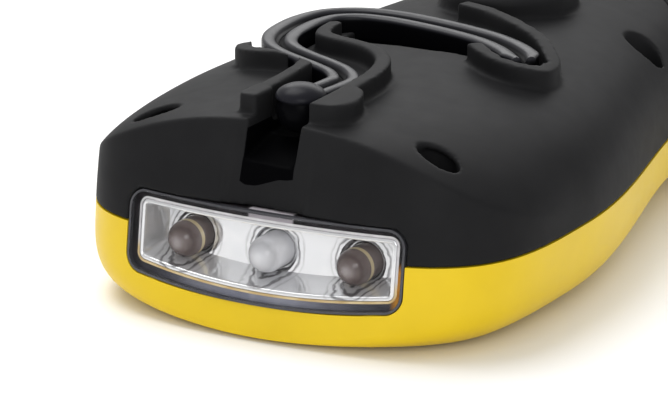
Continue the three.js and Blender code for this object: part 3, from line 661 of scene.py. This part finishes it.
def back_shell():
    outer = combine(skin("back_shell_soft"), [upper_half("upper")], "INTERSECT")
    rims = raised_rims()
    boss = magnet_boss()
    combine(outer, [core_of("back_shell"), rims, boss], "UNION")
    cuts = [
        hook_channel(),
        prism_z("neck_room", band(NECK_ROOM, NECK_ROOM_WIDTH), CHANNEL_FLOOR, FAR),
        prism_x("slot", slot_outline(), -SLOT_HALF_WIDTH - SLOT_LEFT_ROOM, SLOT_HALF_WIDTH),
        prism_z("pocket", pocket_outline(), POCKET_FLOOR, FAR),
        turned_z("magnet_hole", [(MAGNET_HOLE, MAGNET_SEAT), (MAGNET_HOLE, FAR)], 0, BOSS_Y),
        window_hole(),
        prism_z("cover_hole", cover_outline(COVER_FIT), COVER_SPLIT, FAR),
    ]
    screw_hole = [(SCREW_HOLE, SCREW_SEAT), (SCREW_HOLE, FAR)]
    cuts += [turned_z("screw_hole", screw_hole, x, y) for x, y in REAR_SCREWS]
    cuts += [prism_z("front_hole", front_hole(side), SCREW_SEAT, FAR) for side in (-1, 1)]
    return combine(outer, cuts, "DIFFERENCE")


def battery_cover():
    outer = skin("battery_cover_soft")
    combine(outer, [prism_z("within", cover_outline(0), COVER_SPLIT + COVER_FIT, FAR)], "INTERSECT")
    return crisp(combine(outer, [core_of("battery_cover")], "UNION"))


def hook_section(share):
    """Half of the bar's section from the underside up to the groove, and its mirror image."""
    half = HOOK_WIDTH / 2 * share
    groove = HOOK_GROOVE / 2 * share
    base = HOOK_TOP - HOOK_THICKNESS
    crest = (half + groove) / 2
    ridge_foot = HOOK_TOP - HOOK_RIDGE
    side = [
        (half - HOOK_UNDERSIDE, base),
        (half - HOOK_CHAMFER, base + HOOK_CHAMFER),
        (half, base + HOOK_UNDERSIDE),
        (half, HOOK_TOP - HOOK_SHOULDER),
    ]
    for turn in np.linspace(0, math.pi, 9):
        side.append((crest + (half - crest) * math.cos(turn), ridge_foot + HOOK_RIDGE * math.sin(turn)))
    for turn in np.linspace(0, math.pi / 2, 5)[1:]:
        reach = groove * (1 - HOOK_GROOVE_CLOSING * math.sin(turn))
        drop = (HOOK_GROOVE_DEPTH - HOOK_RIDGE) * (1 - math.cos(turn))
        side.append((reach, ridge_foot - drop - HOOK_GROOVE_STEP))
    mirrored = [(-x, z) for x, z in side[::-1]]
    return [(0, base)] + side + mirrored


def hook_ball():
    """The ball with its wider cap."""
    body = BALL_RADIUS - BALL_SHRINK
    profile = [(body * math.sin(a), BALL_Z - body * math.cos(a)) for a in np.linspace(POLE, BALL_WAIST, 36)]
    cap_foot = BALL_Z + CAP_BASE
    cap_height = body + CAP_RISE - CAP_BASE
    for a in np.linspace(0, math.pi / 2 - POLE, 20):
        profile.append((CAP_RADIUS * math.cos(a), cap_foot + cap_height * math.sin(a)))
    return turned_z("ball", profile, 0, BALL_Y)


def hook():
    def section(t):
        tip = 1 - ease(t, HOOK_TIP_SHARE, 1) * HOOK_TIP_SLIMMING
        return hook_section(neck_share(t) * tip)

    bar = sweep("hook_soft", HOOK_PATH, section)
    near_ball = block("near_ball", (-FAR, -FAR, -FAR), (FAR, BALL_Y + HOOK_START, FAR))
    combine(bar, [near_ball], "DIFFERENCE")
    return combine(bar, [hook_ball()], "UNION")


def work_outline(grow):
    half, corner = WORK_HALF_WIDTH + grow, WORK_CORNER + grow
    y0, y1 = WORK_Y[0] - grow, WORK_Y[1] + grow
    middles = [(half - corner, y0 + corner), (half - corner, y1 - corner),
               (corner - half, y1 - corner), (corner - half, y0 + corner)]
    outline = []
    for i, (x, y) in enumerate(middles):
        turn = np.linspace((i - 1) * math.pi / 2, i * math.pi / 2, 16)
        outline.append(np.column_stack([x + corner * np.cos(turn), y + corner * np.sin(turn)]))
    return np.vstack(outline)


def front_shell():
    outer = combine(skin("front_shell_soft"), [lower_half("lower")], "INTERSECT")
    combine(outer, [core_of("front_shell")], "UNION")
    cuts = [
        window_hole(),
        prism_z("work_recess", work_outline(WINDOW_FIT), -FAR, WORK_RECESS_TOP),
        turned_z("button_hole", [(BUTTON_HOLE, -FAR), (BUTTON_HOLE, BUTTON_HOLE_TOP)], 0, BUTTON_Y),
    ]
    return crisp(combine(outer, cuts, "DIFFERENCE"))


# Pieces of the torch window
def ring_solid(name, rings):
    """A closed band through rings of equal length, the last joined to the first."""
    around, count = len(rings[0]), len(rings)
    faces = []
    for row in range(count):
        after = (row + 1) % count
        for i in range(around):
            j = (i + 1) % around
            faces.append((row * around + i, row * around + j, after * around + j, after * around + i))
    return make_object(name, np.concatenate(rings), faces)


def torch_lens():
    steps = rounded_edge(LENS_ROUND, 0, -WINDOW_PROUD) + LENS_BACK
    return crisp(dish("torch_lens_clear", steps), 50)


def edge_ring(name, outside, inside, front, back):
    """A ring along the window's outline."""
    steps = [(outside, front), (inside, front), (inside, back), (outside, back)]
    return crisp(ring_solid(name, [on_face(window_outline(grow), depth) for grow, depth in steps]))


def lamp_places():
    """The place across and the tip of each torch lamp, from left to right."""
    side_tip = LED_TIP + LED_SIDE_STEP
    return [(LED_ASIDE - LED_PITCH, side_tip), (LED_ASIDE, LED_TIP), (LED_ASIDE + LED_PITCH, side_tip)]


def lamp_cup(x):
    """The form that cuts the cup and the hole of a lamp out of the tray."""
    floor = on_face(np.array([(x, LED_HEIGHT)]), TRAY_DEPTH)[0, 1]
    flare = CUP_RADIUS - CUP_HOLE
    turn = np.linspace(0, math.pi / 2, 14)
    bowl = [(CUP_HOLE + flare * math.cos(a), floor + CUP_DEPTH * math.sin(a)) for a in turn]
    profile = [(CUP_RADIUS, floor - CUP_REACH[0])] + bowl + [(CUP_HOLE, floor + CUP_REACH[1])]
    return turned_y("cup", profile, x, LED_HEIGHT, 96)


def torch_reflector():
    steps = [(-TRAY_INSET, TRAY_DEPTH), (-BORDER - TRAY_SHOULDER[0], TRAY_SHOULDER[1])]
    steps += [(-BORDER - inward, depth) for inward, depth in TRAY_LIP]
    steps.append((-BORDER, TRAY_DEPTH + TRAY_WALL))
    tray = dish("torch_reflector_bright", steps)
    cups = [lamp_cup(x) for x, tip in lamp_places()]
    return crisp(combine(tray, cups, "DIFFERENCE"), 28)


def torch_lamp(name, x, tip):
    turn = np.linspace(LED_POLE, math.pi / 2, 16)
    dome = [(LED_RADIUS * math.sin(a), tip + LED_RADIUS * (1 - math.cos(a))) for a in turn]
    flange = LED_RADIUS + LED_FLANGE
    start, front = (LED_FOOT - step for step in LED_FLANGE_STEPS)
    foot = [(LED_RADIUS, start), (flange, front), (flange, LED_FOOT)]
    return crisp(turned_y(name, dome + foot, x, LED_HEIGHT), 50)


place_camera()
scene.view_settings.view_transform = "Standard"


# Stage and light, in metres
FLOOR_HALF = 3.0
FLOOR_GREY = 0.93
WORLD_STRENGTH = 0.62
MIDDLE = (0.0, -0.05, 0.015)


def make_stage():
    half = FLOOR_HALF
    corners = [(-half, -half, 0), (half, -half, 0), (half, half, 0), (-half, half, 0)]
    mesh = bpy.data.meshes.new("floor")
    mesh.from_pydata(corners, [], [(0, 1, 2, 3)])
    floor = bpy.data.objects.new("floor", mesh)
    scene.collection.objects.link(floor)
    material = bpy.data.materials.new("floor_white")
    material.use_nodes = True
    principled = material.node_tree.nodes["Principled BSDF"]
    principled.inputs["Base Color"].default_value = (FLOOR_GREY, FLOOR_GREY, FLOOR_GREY, 1)
    principled.inputs["Roughness"].default_value = 0.9
    principled.inputs["Specular IOR Level"].default_value = 0.1
    mesh.materials.append(material)


def area_light(name, place, aim, size, power):
    """A rectangular light turned towards its aim."""
    data = bpy.data.lights.new(name, "AREA")
    data.shape = "RECTANGLE"
    data.size, data.size_y = size
    data.energy = power
    light = bpy.data.objects.new(name, data)
    scene.collection.objects.link(light)
    light.location = place
    light.rotation_mode = "QUATERNION"
    light.rotation_quaternion = (Vector(place) - Vector(aim)).to_track_quat("Z", "Y")


def make_world(strength):
    """Soft white light from all round, and full white where the camera looks past the floor."""
    world = bpy.data.worlds.new("studio")
    scene.world = world
    world.use_nodes = True
    tree = world.node_tree
    tree.nodes.clear()
    out = tree.nodes.new("ShaderNodeOutputWorld")
    soft = tree.nodes.new("ShaderNodeBackground")
    soft.inputs["Color"].default_value = (1, 1, 1, 1)
    soft.inputs["Strength"].default_value = strength
    seen = tree.nodes.new("ShaderNodeBackground")
    seen.inputs["Color"].default_value = (1, 1, 1, 1)
    path = tree.nodes.new("ShaderNodeLightPath")
    pick = tree.nodes.new("ShaderNodeMixShader")
    tree.links.new(path.outputs["Is Camera Ray"], pick.inputs["Fac"])
    tree.links.new(soft.outputs["Background"], pick.inputs[1])
    tree.links.new(seen.outputs["Background"], pick.inputs[2])
    tree.links.new(pick.outputs["Shader"], out.inputs["Surface"])


make_stage()
make_world(WORLD_STRENGTH)
area_light("key", (-0.35, 0.05, 0.85), MIDDLE, (0.6, 0.6), 6)
area_light("front", (0.5, -0.95, 0.45), MIDDLE, (0.6, 0.5), 3.5)
area_light("back", (-0.3, 0.75, 0.5), MIDDLE, (0.9, 0.4), 3)


# Materials
# Looks of the hook: painted shade in the groove and below the crests, from its top down, and a dimmer shine
# from the ball's middle back
GROOVE_SHADE_BAND = (0.75, 0.3)
BALL_REACH = 3.2
# Looks of the torch tray and its lamps: painted reflection rings in the tray, painted highlights and glints
# on the lamps
REFLECTION_RING_RATE = 8.5
REFLECTION_RING_FADE = (1.1, 2.4)
LAMP_RINGS = (0.12, 0.45, 0.78, 0.98)
GOLD_GLINT_BAND = (3.3, 4.1)
# Where the window's margin and rim change colour, across and in height
AMBER_X = (19.2, 20.0)
AMBER_Z = (-1.2, 0.2)
# Bounds of the painted reflection patch on the upper margin
REFLECTION_LEFT_X = (-2.4, -2.0)
REFLECTION_RIGHT_X = (4.4, 4.8)
REFLECTION_Z = WINDOW_TOP - BORDER - 0.4
BLUISH_X = (3.0, 17.0)
BLUISH_Z = (WINDOW_BOTTOM - 0.2, WINDOW_BOTTOM + 2.2)
CREAM_Z = (-3.6, -2.4)


def linear(*rgb):
    """Linear colour of an sRGB one with channels up to 255."""
    return tuple(v / 255 / 12.92 if v <= 10 else ((v / 255 + 0.055) / 1.055) ** 2.4 for v in rgb)


class Shader:
    """Nodes of one material, driven by object coordinates in millimetres of the shared frame."""

    def __init__(self, name):
        self.material = bpy.data.materials.new(name)
        self.material.use_nodes = True
        self.tree = self.material.node_tree
        self.principled = self.tree.nodes["Principled BSDF"]
        coords = self.tree.nodes.new("ShaderNodeTexCoord")
        self.place = self.tree.nodes.new("ShaderNodeVectorMath")
        self.place.operation = "SCALE"
        self.place.inputs["Scale"].default_value = 1000.0
        self.tree.links.new(coords.outputs["Object"], self.place.inputs[0])
        self.axes = None

    def axis(self, index):
        if self.axes is None:
            self.axes = self.tree.nodes.new("ShaderNodeSeparateXYZ")
            self.tree.links.new(self.place.outputs["Vector"], self.axes.inputs["Vector"])
        return self.axes.outputs[index]

    def math(self, operation, *values):
        node = self.tree.nodes.new("ShaderNodeMath")
        node.operation = operation
        for socket, value in zip(node.inputs, values):
            if isinstance(value, (int, float)):
                socket.default_value = value
            else:
                self.tree.links.new(value, socket)
        return node.outputs["Value"]

    def set(self, **values):
        for name, value in values.items():
            self.principled.inputs[name.replace("_", " ")].default_value = value
        return self

    def noise(self, scale, detail=3.0, roughness=0.55):
        node = self.tree.nodes.new("ShaderNodeTexNoise")
        node.inputs["Scale"].default_value = scale
        node.inputs["Detail"].default_value = detail
        node.inputs["Roughness"].default_value = roughness
        self.tree.links.new(self.place.outputs["Vector"], node.inputs["Vector"])
        return node.outputs["Fac"]

    def ramp(self, value, stops):
        node = self.tree.nodes.new("ShaderNodeValToRGB")
        elements = node.color_ramp.elements
        while len(elements) < len(stops):
            elements.new(0.5)
        for element, (position, colour) in zip(elements, stops):
            element.position = position
            element.color = (*colour, 1)
        self.tree.links.new(value, node.inputs["Fac"])
        return node.outputs["Color"]

    def span(self, value, low, high, start=0.0, end=1.0):
        node = self.tree.nodes.new("ShaderNodeMapRange")
        node.inputs["From Min"].default_value = start
        node.inputs["From Max"].default_value = end
        node.inputs["To Min"].default_value = low
        node.inputs["To Max"].default_value = high
        self.tree.links.new(value, node.inputs["Value"])
        return node.outputs["Result"]

    def mix_colour(self, share, a, b):
        node = self.tree.nodes.new("ShaderNodeMix")
        node.data_type = "RGBA"
        self.tree.links.new(share, node.inputs["Factor"])
        for socket, value in zip((node.inputs[6], node.inputs[7]), (a, b)):
            if isinstance(value, tuple):
                socket.default_value = (*value, 1)
            else:
                self.tree.links.new(value, socket)
        return node.outputs[2]

    def wire(self, value, name):
        self.tree.links.new(value, self.principled.inputs[name])
        return self

    def bump(self, height, distance):
        node = self.tree.nodes.new("ShaderNodeBump")
        node.inputs["Distance"].default_value = distance
        self.tree.links.new(height, node.inputs["Height"])
        self.tree.links.new(node.outputs["Normal"], self.principled.inputs["Normal"])
        return self

    def spots(self, low, high, scale, detail=4, start=0.3):
        """Soft spots between two near colours."""
        return self.ramp(self.noise(scale, detail), [(start, linear(*low)), (0.7, linear(*high))])

    def rough(self, low, high, scale=0.35, detail=3.0):
        """Roughness that wanders between two values."""
        return self.wire(self.span(self.noise(scale, detail), low, high), "Roughness")

    def product(self, value, *others):
        for other in others:
            value = self.math("MULTIPLY", value, other)
        return value

    def beyond(self, index, place):
        """Mask of what lies past a place along an axis of the part frame."""
        return self.math("GREATER_THAN", self.axis(index), place + ORIGIN[index])

    def short_of(self, index, place):
        """Mask of what lies before a place along an axis of the part frame."""
        return self.math("LESS_THAN", self.axis(index), place + ORIGIN[index])

    def along(self, index, low, high, start, end):
        """A value that goes from low to high between two places along an axis of the part frame."""
        return self.span(self.axis(index), low, high, start + ORIGIN[index], end + ORIGIN[index])


def plastic(name, colours, roughness, grain_scale, grain_depth, spot_scale=0.12):
    """Plastic with faint spots and a fine grain."""
    shader = Shader(name)
    shader.wire(shader.spots(*colours, spot_scale), "Base Color")
    shader.rough(*roughness)
    shader.bump(shader.noise(grain_scale, 2), grain_depth)
    return shader


def soft_black():
    """Matt coat outside; the bare moulding down in the slot, the channel and the pocket is painted near black
    as painted shade of these recesses.
    """
    shader = Shader("soft_black")
    across = shader.axis(0)
    narrow = shader.math("LESS_THAN", shader.math("ABSOLUTE", across), BARE_SHADE_HALF_WIDTH)
    bowed = shader.product(narrow, shader.beyond(1, BARE_SHADE_WIDE_FROM_Y))
    centred = shader.math("ABSOLUTE", shader.math("ADD", across, SLOT_LEFT_ROOM / 2))
    slotted = shader.math("LESS_THAN", centred, SLOT_HALF_WIDTH + SLOT_LEFT_ROOM / 2 + BARE_SHADE_SLOT_MARGIN)
    inside = shader.math("MAXIMUM", bowed, slotted)
    between = shader.product(shader.beyond(1, BARE_SHADE_Y[0]), shader.short_of(1, BARE_SHADE_Y[1]))
    bare_and_shaded = shader.product(shader.short_of(2, BARE_SHADE_TOP), inside, between)
    coat = shader.spots((27, 27, 28), (31, 31, 32), 0.12)
    # Painted shade: the bare moulding in the recesses is painted near black.
    shader.wire(shader.mix_colour(bare_and_shaded, coat, linear(4, 4, 5)), "Base Color")
    shader.wire(shader.span(bare_and_shaded, 0.06, 0.01), "Specular IOR Level")
    shader.rough(0.5, 0.6)
    shader.bump(shader.noise(7.0, 2), 0.00001)
    return shader


def satin_yellow():
    shader = plastic("satin_yellow", ((219, 186, 12), (224, 191, 18)), (0.34, 0.42), 6.0, 0.000003)
    return shader.set(Specular_IOR_Level=0.3)


def mirror_coat():
    shader = plastic("mirror_coat", ((236, 237, 239), (246, 247, 248)), (0.05, 0.12), 2.0, 0.000004, 0.4)
    return shader.set(Metallic=0.62)


def lens_edge():
    """Dark edge of the clear window."""
    return plastic("lens_edge", ((48, 48, 52), (76, 76, 80)), (0.15, 0.25), 2.0, 0.000002)


def clear(name, tint, roughness, ior):
    shader = Shader(name)
    lighter = tuple(min(1.0, v * 1.02) for v in tint)
    shader.wire(shader.ramp(shader.noise(0.1, 2), [(0.3, tint), (0.7, lighter)]), "Base Color")
    shader.set(Transmission_Weight=1.0, IOR=ior)
    shader.rough(roughness, roughness * 1.6, 0.6, 2)
    return shader


def lamp_epoxy():
    """Clear epoxy of the work lamps."""
    shader = Shader("led_epoxy")
    shader.wire(shader.spots((196, 196, 200), (222, 222, 226), 0.5, 2), "Base Color")
    shader.set(Transmission_Weight=0.45, IOR=1.5)
    shader.rough(0.16, 0.24, 0.6, 2)
    return shader


def lamp_distance(shader):
    """Distance from the axis of the nearest torch lamp."""
    aside = shader.math("SUBTRACT", shader.axis(0), LED_ASIDE)
    across = shader.math("WRAP", aside, LED_PITCH / 2, -LED_PITCH / 2)
    rise = shader.math("SUBTRACT", shader.axis(2), LED_HEIGHT + ORIGIN[2])
    square = shader.math("ADD", shader.product(across, across), shader.product(rise, rise))
    return shader.math("SQRT", square)


def torch_mirror():
    """Bright coat of the torch tray, with dark rings round each lamp painted as streaked reflections."""
    shader = Shader("torch_mirror")
    radius = lamp_distance(shader)
    wobble = shader.math("ADD", radius, shader.span(shader.noise(0.5, 2), -0.5, 0.5))
    wave = shader.math("SINE", shader.product(wobble, REFLECTION_RING_RATE))
    reflection_rings = shader.span(wave, 0.0, 1.0, -0.2, 0.9)
    near = shader.span(radius, 1.0, 0.0, *(LED_RADIUS + step for step in REFLECTION_RING_FADE))
    coat = shader.spots((238, 239, 241), (248, 248, 249), 0.4)
    # Painted reflection: dark rings round each lamp stand in for streaked reflections in the tray.
    shader.wire(shader.mix_colour(shader.product(reflection_rings, near), coat, linear(128, 126, 128)), "Base Color")
    shader.rough(0.05, 0.12)
    shader.set(Metallic=0.6)
    return shader


def gloss_black():
    """Bare glossy moulding of the hook, with painted shade deep in its groove and down its sides below the
    crests.
    """
    shader = Shader("gloss_black")
    crest = shader.along(2, 0.0, 1.0, *(HOOK_TOP - depth for depth in GROOVE_SHADE_BAND))
    ball = shader.short_of(1, BALL_Y + BALL_REACH)
    coat = shader.spots((24, 24, 29), (30, 30, 35), 0.12)
    # Painted shade: below the crests the hook is painted near black.
    shader.wire(shader.mix_colour(crest, linear(7, 7, 9), coat), "Base Color")
    shine = shader.math("MAXIMUM", shader.product(crest, 0.2), 0.05)
    dimmed = shader.math("SUBTRACT", 1.0, shader.product(ball, 0.55))
    shader.wire(shader.product(shine, dimmed), "Specular IOR Level")
    shader.rough(0.3, 0.38)
    return shader


def lamp_rings(shader, share, *colours):
    """Colours from the axis of a torch lamp out to its rim."""
    return shader.ramp(share, [(stop, linear(*colour)) for stop, colour in zip(LAMP_RINGS, colours)])


def torch_epoxy():
    """Torch lamps seen end on, the outer two smoky and the middle one pale, each with a painted highlight in
    its paler core and at its lighter rim.

    A gold ring of painted glints shows behind the outer two.
    """
    shader = Shader("torch_epoxy")
    radius = shader.math("ADD", lamp_distance(shader), shader.span(shader.noise(0.9, 2), -0.35, 0.35))
    share = shader.span(radius, 0.0, 1.0, 0.0, LED_RADIUS)
    # Painted highlights: the core and the rim of each lamp are painted lighter.
    smoky = lamp_rings(shader, share, (148, 140, 140), (104, 92, 90), (76, 62, 60), (112, 100, 98))
    pale = lamp_rings(shader, share, (222, 222, 226), (208, 208, 212), (192, 192, 196), (226, 226, 230))
    outer = shader.math("GREATER_THAN", shader.math("ABSOLUTE", shader.axis(0)), LED_PITCH / 2)
    colour = shader.mix_colour(outer, pale, smoky)
    # Painted glints: a gold ring behind the outer two lamps.
    behind = shader.beyond(1, LED_TIP + GOLD_GLINT_BAND[0])
    before = shader.short_of(1, LED_TIP + GOLD_GLINT_BAND[1])
    gold_glint = shader.product(behind, before, shader.product(outer, 0.75))
    shader.wire(shader.mix_colour(gold_glint, colour, linear(222, 204, 158)), "Base Color")
    shader.set(Roughness=0.12, Specular_IOR_Level=0.5)
    return shader


def window_border():
    """The margin seen through the window's edge.

    It is dark above but for one pale painted reflection patch, bluish below, and amber below the parting line
    at the right.
    """
    shader = Shader("window_border")
    across = shader.axis(0)
    low = shader.along(2, 1.0, 0.0, *BLUISH_Z)
    high = shader.beyond(2, REFLECTION_Z)
    below_seam = shader.along(2, 1.0, 0.0, *AMBER_Z)
    end = shader.span(across, 0.0, 1.0, *AMBER_X)
    painted_reflection = shader.product(
        high,
        shader.span(across, 0.0, 1.0, *REFLECTION_LEFT_X),
        shader.span(across, 1.0, 0.0, *REFLECTION_RIGHT_X),
    )
    middle = shader.span(shader.math("ABSOLUTE", across), 1.0, 0.0, *BLUISH_X)
    dark = shader.spots((14, 13, 15), (44, 40, 44), 0.35, 3, 0.35)
    dull = shader.spots((54, 54, 62), (84, 84, 94), 0.25, 3, 0.35)
    bluish = shader.spots((128, 130, 146), (160, 162, 176), 0.25, 3, 0.35)
    amber = shader.spots((168, 106, 22), (206, 142, 44), 0.4, 3)
    colour = shader.mix_colour(low, dark, shader.mix_colour(middle, dull, bluish))
    # Painted reflection: a pale patch on the dark upper margin.
    colour = shader.mix_colour(painted_reflection, colour, linear(172, 166, 172))
    colour = shader.mix_colour(shader.product(end, below_seam), colour, amber)
    shader.wire(colour, "Base Color")
    shader.set(Roughness=0.4, Specular_IOR_Level=0.15)
    return shader


def window_rim():
    """Thin rim inside the margin, cream along its lower side."""
    shader = Shader("window_rim")
    low = shader.along(2, 1.0, 0.0, *CREAM_Z)
    pale = shader.spots((206, 204, 206), (236, 234, 236), 0.5, 2)
    cream = shader.spots((206, 170, 104), (238, 216, 168), 0.3, 2)
    shader.wire(shader.mix_colour(low, pale, cream), "Base Color")
    shader.set(Roughness=0.3)
    return shader


def window_skin():
    """The clear cover of the torch window, thin enough to let the light straight through."""
    shader = Shader("window_skin")
    faint = [(0.3, (0.01, 0.01, 0.012)), (0.7, (0.03, 0.03, 0.03))]
    shader.wire(shader.ramp(shader.noise(0.1, 2), faint), "Base Color")
    shader.set(Alpha=0.06, Roughness=0.05, Specular_IOR_Level=1.0)
    return shader


def metal(name, colours, roughness, grain_scale=2.0, grain_depth=0.00001):
    return plastic(name, colours, roughness, grain_scale, grain_depth, 0.4).set(Metallic=1.0)


MATERIALS = {
    "casing_black": soft_black(),
    "casing_yellow": satin_yellow(),
    "hook_black": gloss_black(),
    "magnet_steel": metal("nickel", ((98, 98, 102), (118, 118, 122)), (0.3, 0.42)),
    "lens_clear": clear("clear_plastic", (0.97, 0.98, 0.98), 0.02, 1.49),
    "reflector_chrome": mirror_coat(),
    "led_clear": lamp_epoxy(),
    "board": plastic("green_board", ((24, 70, 38), (34, 92, 50)), (0.35, 0.5), 3.0, 0.00001),
    "button_rubber": plastic("button_rubber", ((28, 28, 30), (38, 38, 40)), (0.6, 0.75), 6.0, 0.00002),
    "switch_body": plastic("switch_body", ((46, 46, 48), (60, 60, 62)), (0.45, 0.6), 4.0, 0.00001),
    "cell_wrap": plastic("cell_wrap", ((52, 66, 96), (66, 82, 116)), (0.25, 0.35), 3.0, 0.000004),
    "contact_metal": metal("contact_nickel", ((170, 170, 172), (196, 196, 198)), (0.25, 0.4)),
    "screw_steel": metal("dark_screw", ((58, 58, 62), (80, 80, 84)), (0.3, 0.45)),
}

slot_of = {row["node"]: row["material_slot"] for row in frame["record"]["subparts"]}
for name, obj in nodes.items():
    obj.data.materials.clear()
    obj.data.materials.append(MATERIALS[slot_of[name]].material)


def finish_piece(obj, body, slot, replaced=(), material=None):
    """Gives a piece its material, from its slot unless one is given, attaches it to its body, and hides the
    solids it stands for.
    """
    obj.data.materials.clear()
    obj.data.materials.append((material or MATERIALS[slot]).material)
    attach(obj, body)
    if replaced:
        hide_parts(*replaced)


finish_piece(soften(back_shell()), "casing", "casing_black", ["back_shell"])
finish_piece(front_shell(), "casing", "casing_yellow", ["front_shell"])
finish_piece(battery_cover(), "cover", "casing_black", ["battery_cover"])
finish_piece(hook(), "hook", "hook_black", ["hook"])
finish_piece(torch_lens(), "casing", "lens_clear", ["torch_lens"], window_skin())
finish_piece(edge_ring("torch_lens_edge", *LENS_EDGE_RING), "casing", "lens_clear", (), lens_edge())
finish_piece(edge_ring("torch_border", *BORDER_RING), "casing", "casing_black", (), window_border())
finish_piece(edge_ring("torch_rim", *RIM_RING), "casing", "reflector_chrome", (), window_rim())
finish_piece(torch_reflector(), "casing", "reflector_chrome", ["torch_reflector"], torch_mirror())
for side, (x, tip) in zip(("left", "middle", "right"), lamp_places()):
    lamp = torch_lamp("torch_lamp_" + side, x, tip)
    finish_piece(lamp, "casing", "led_clear", ["torch_led_" + side], torch_epoxy())
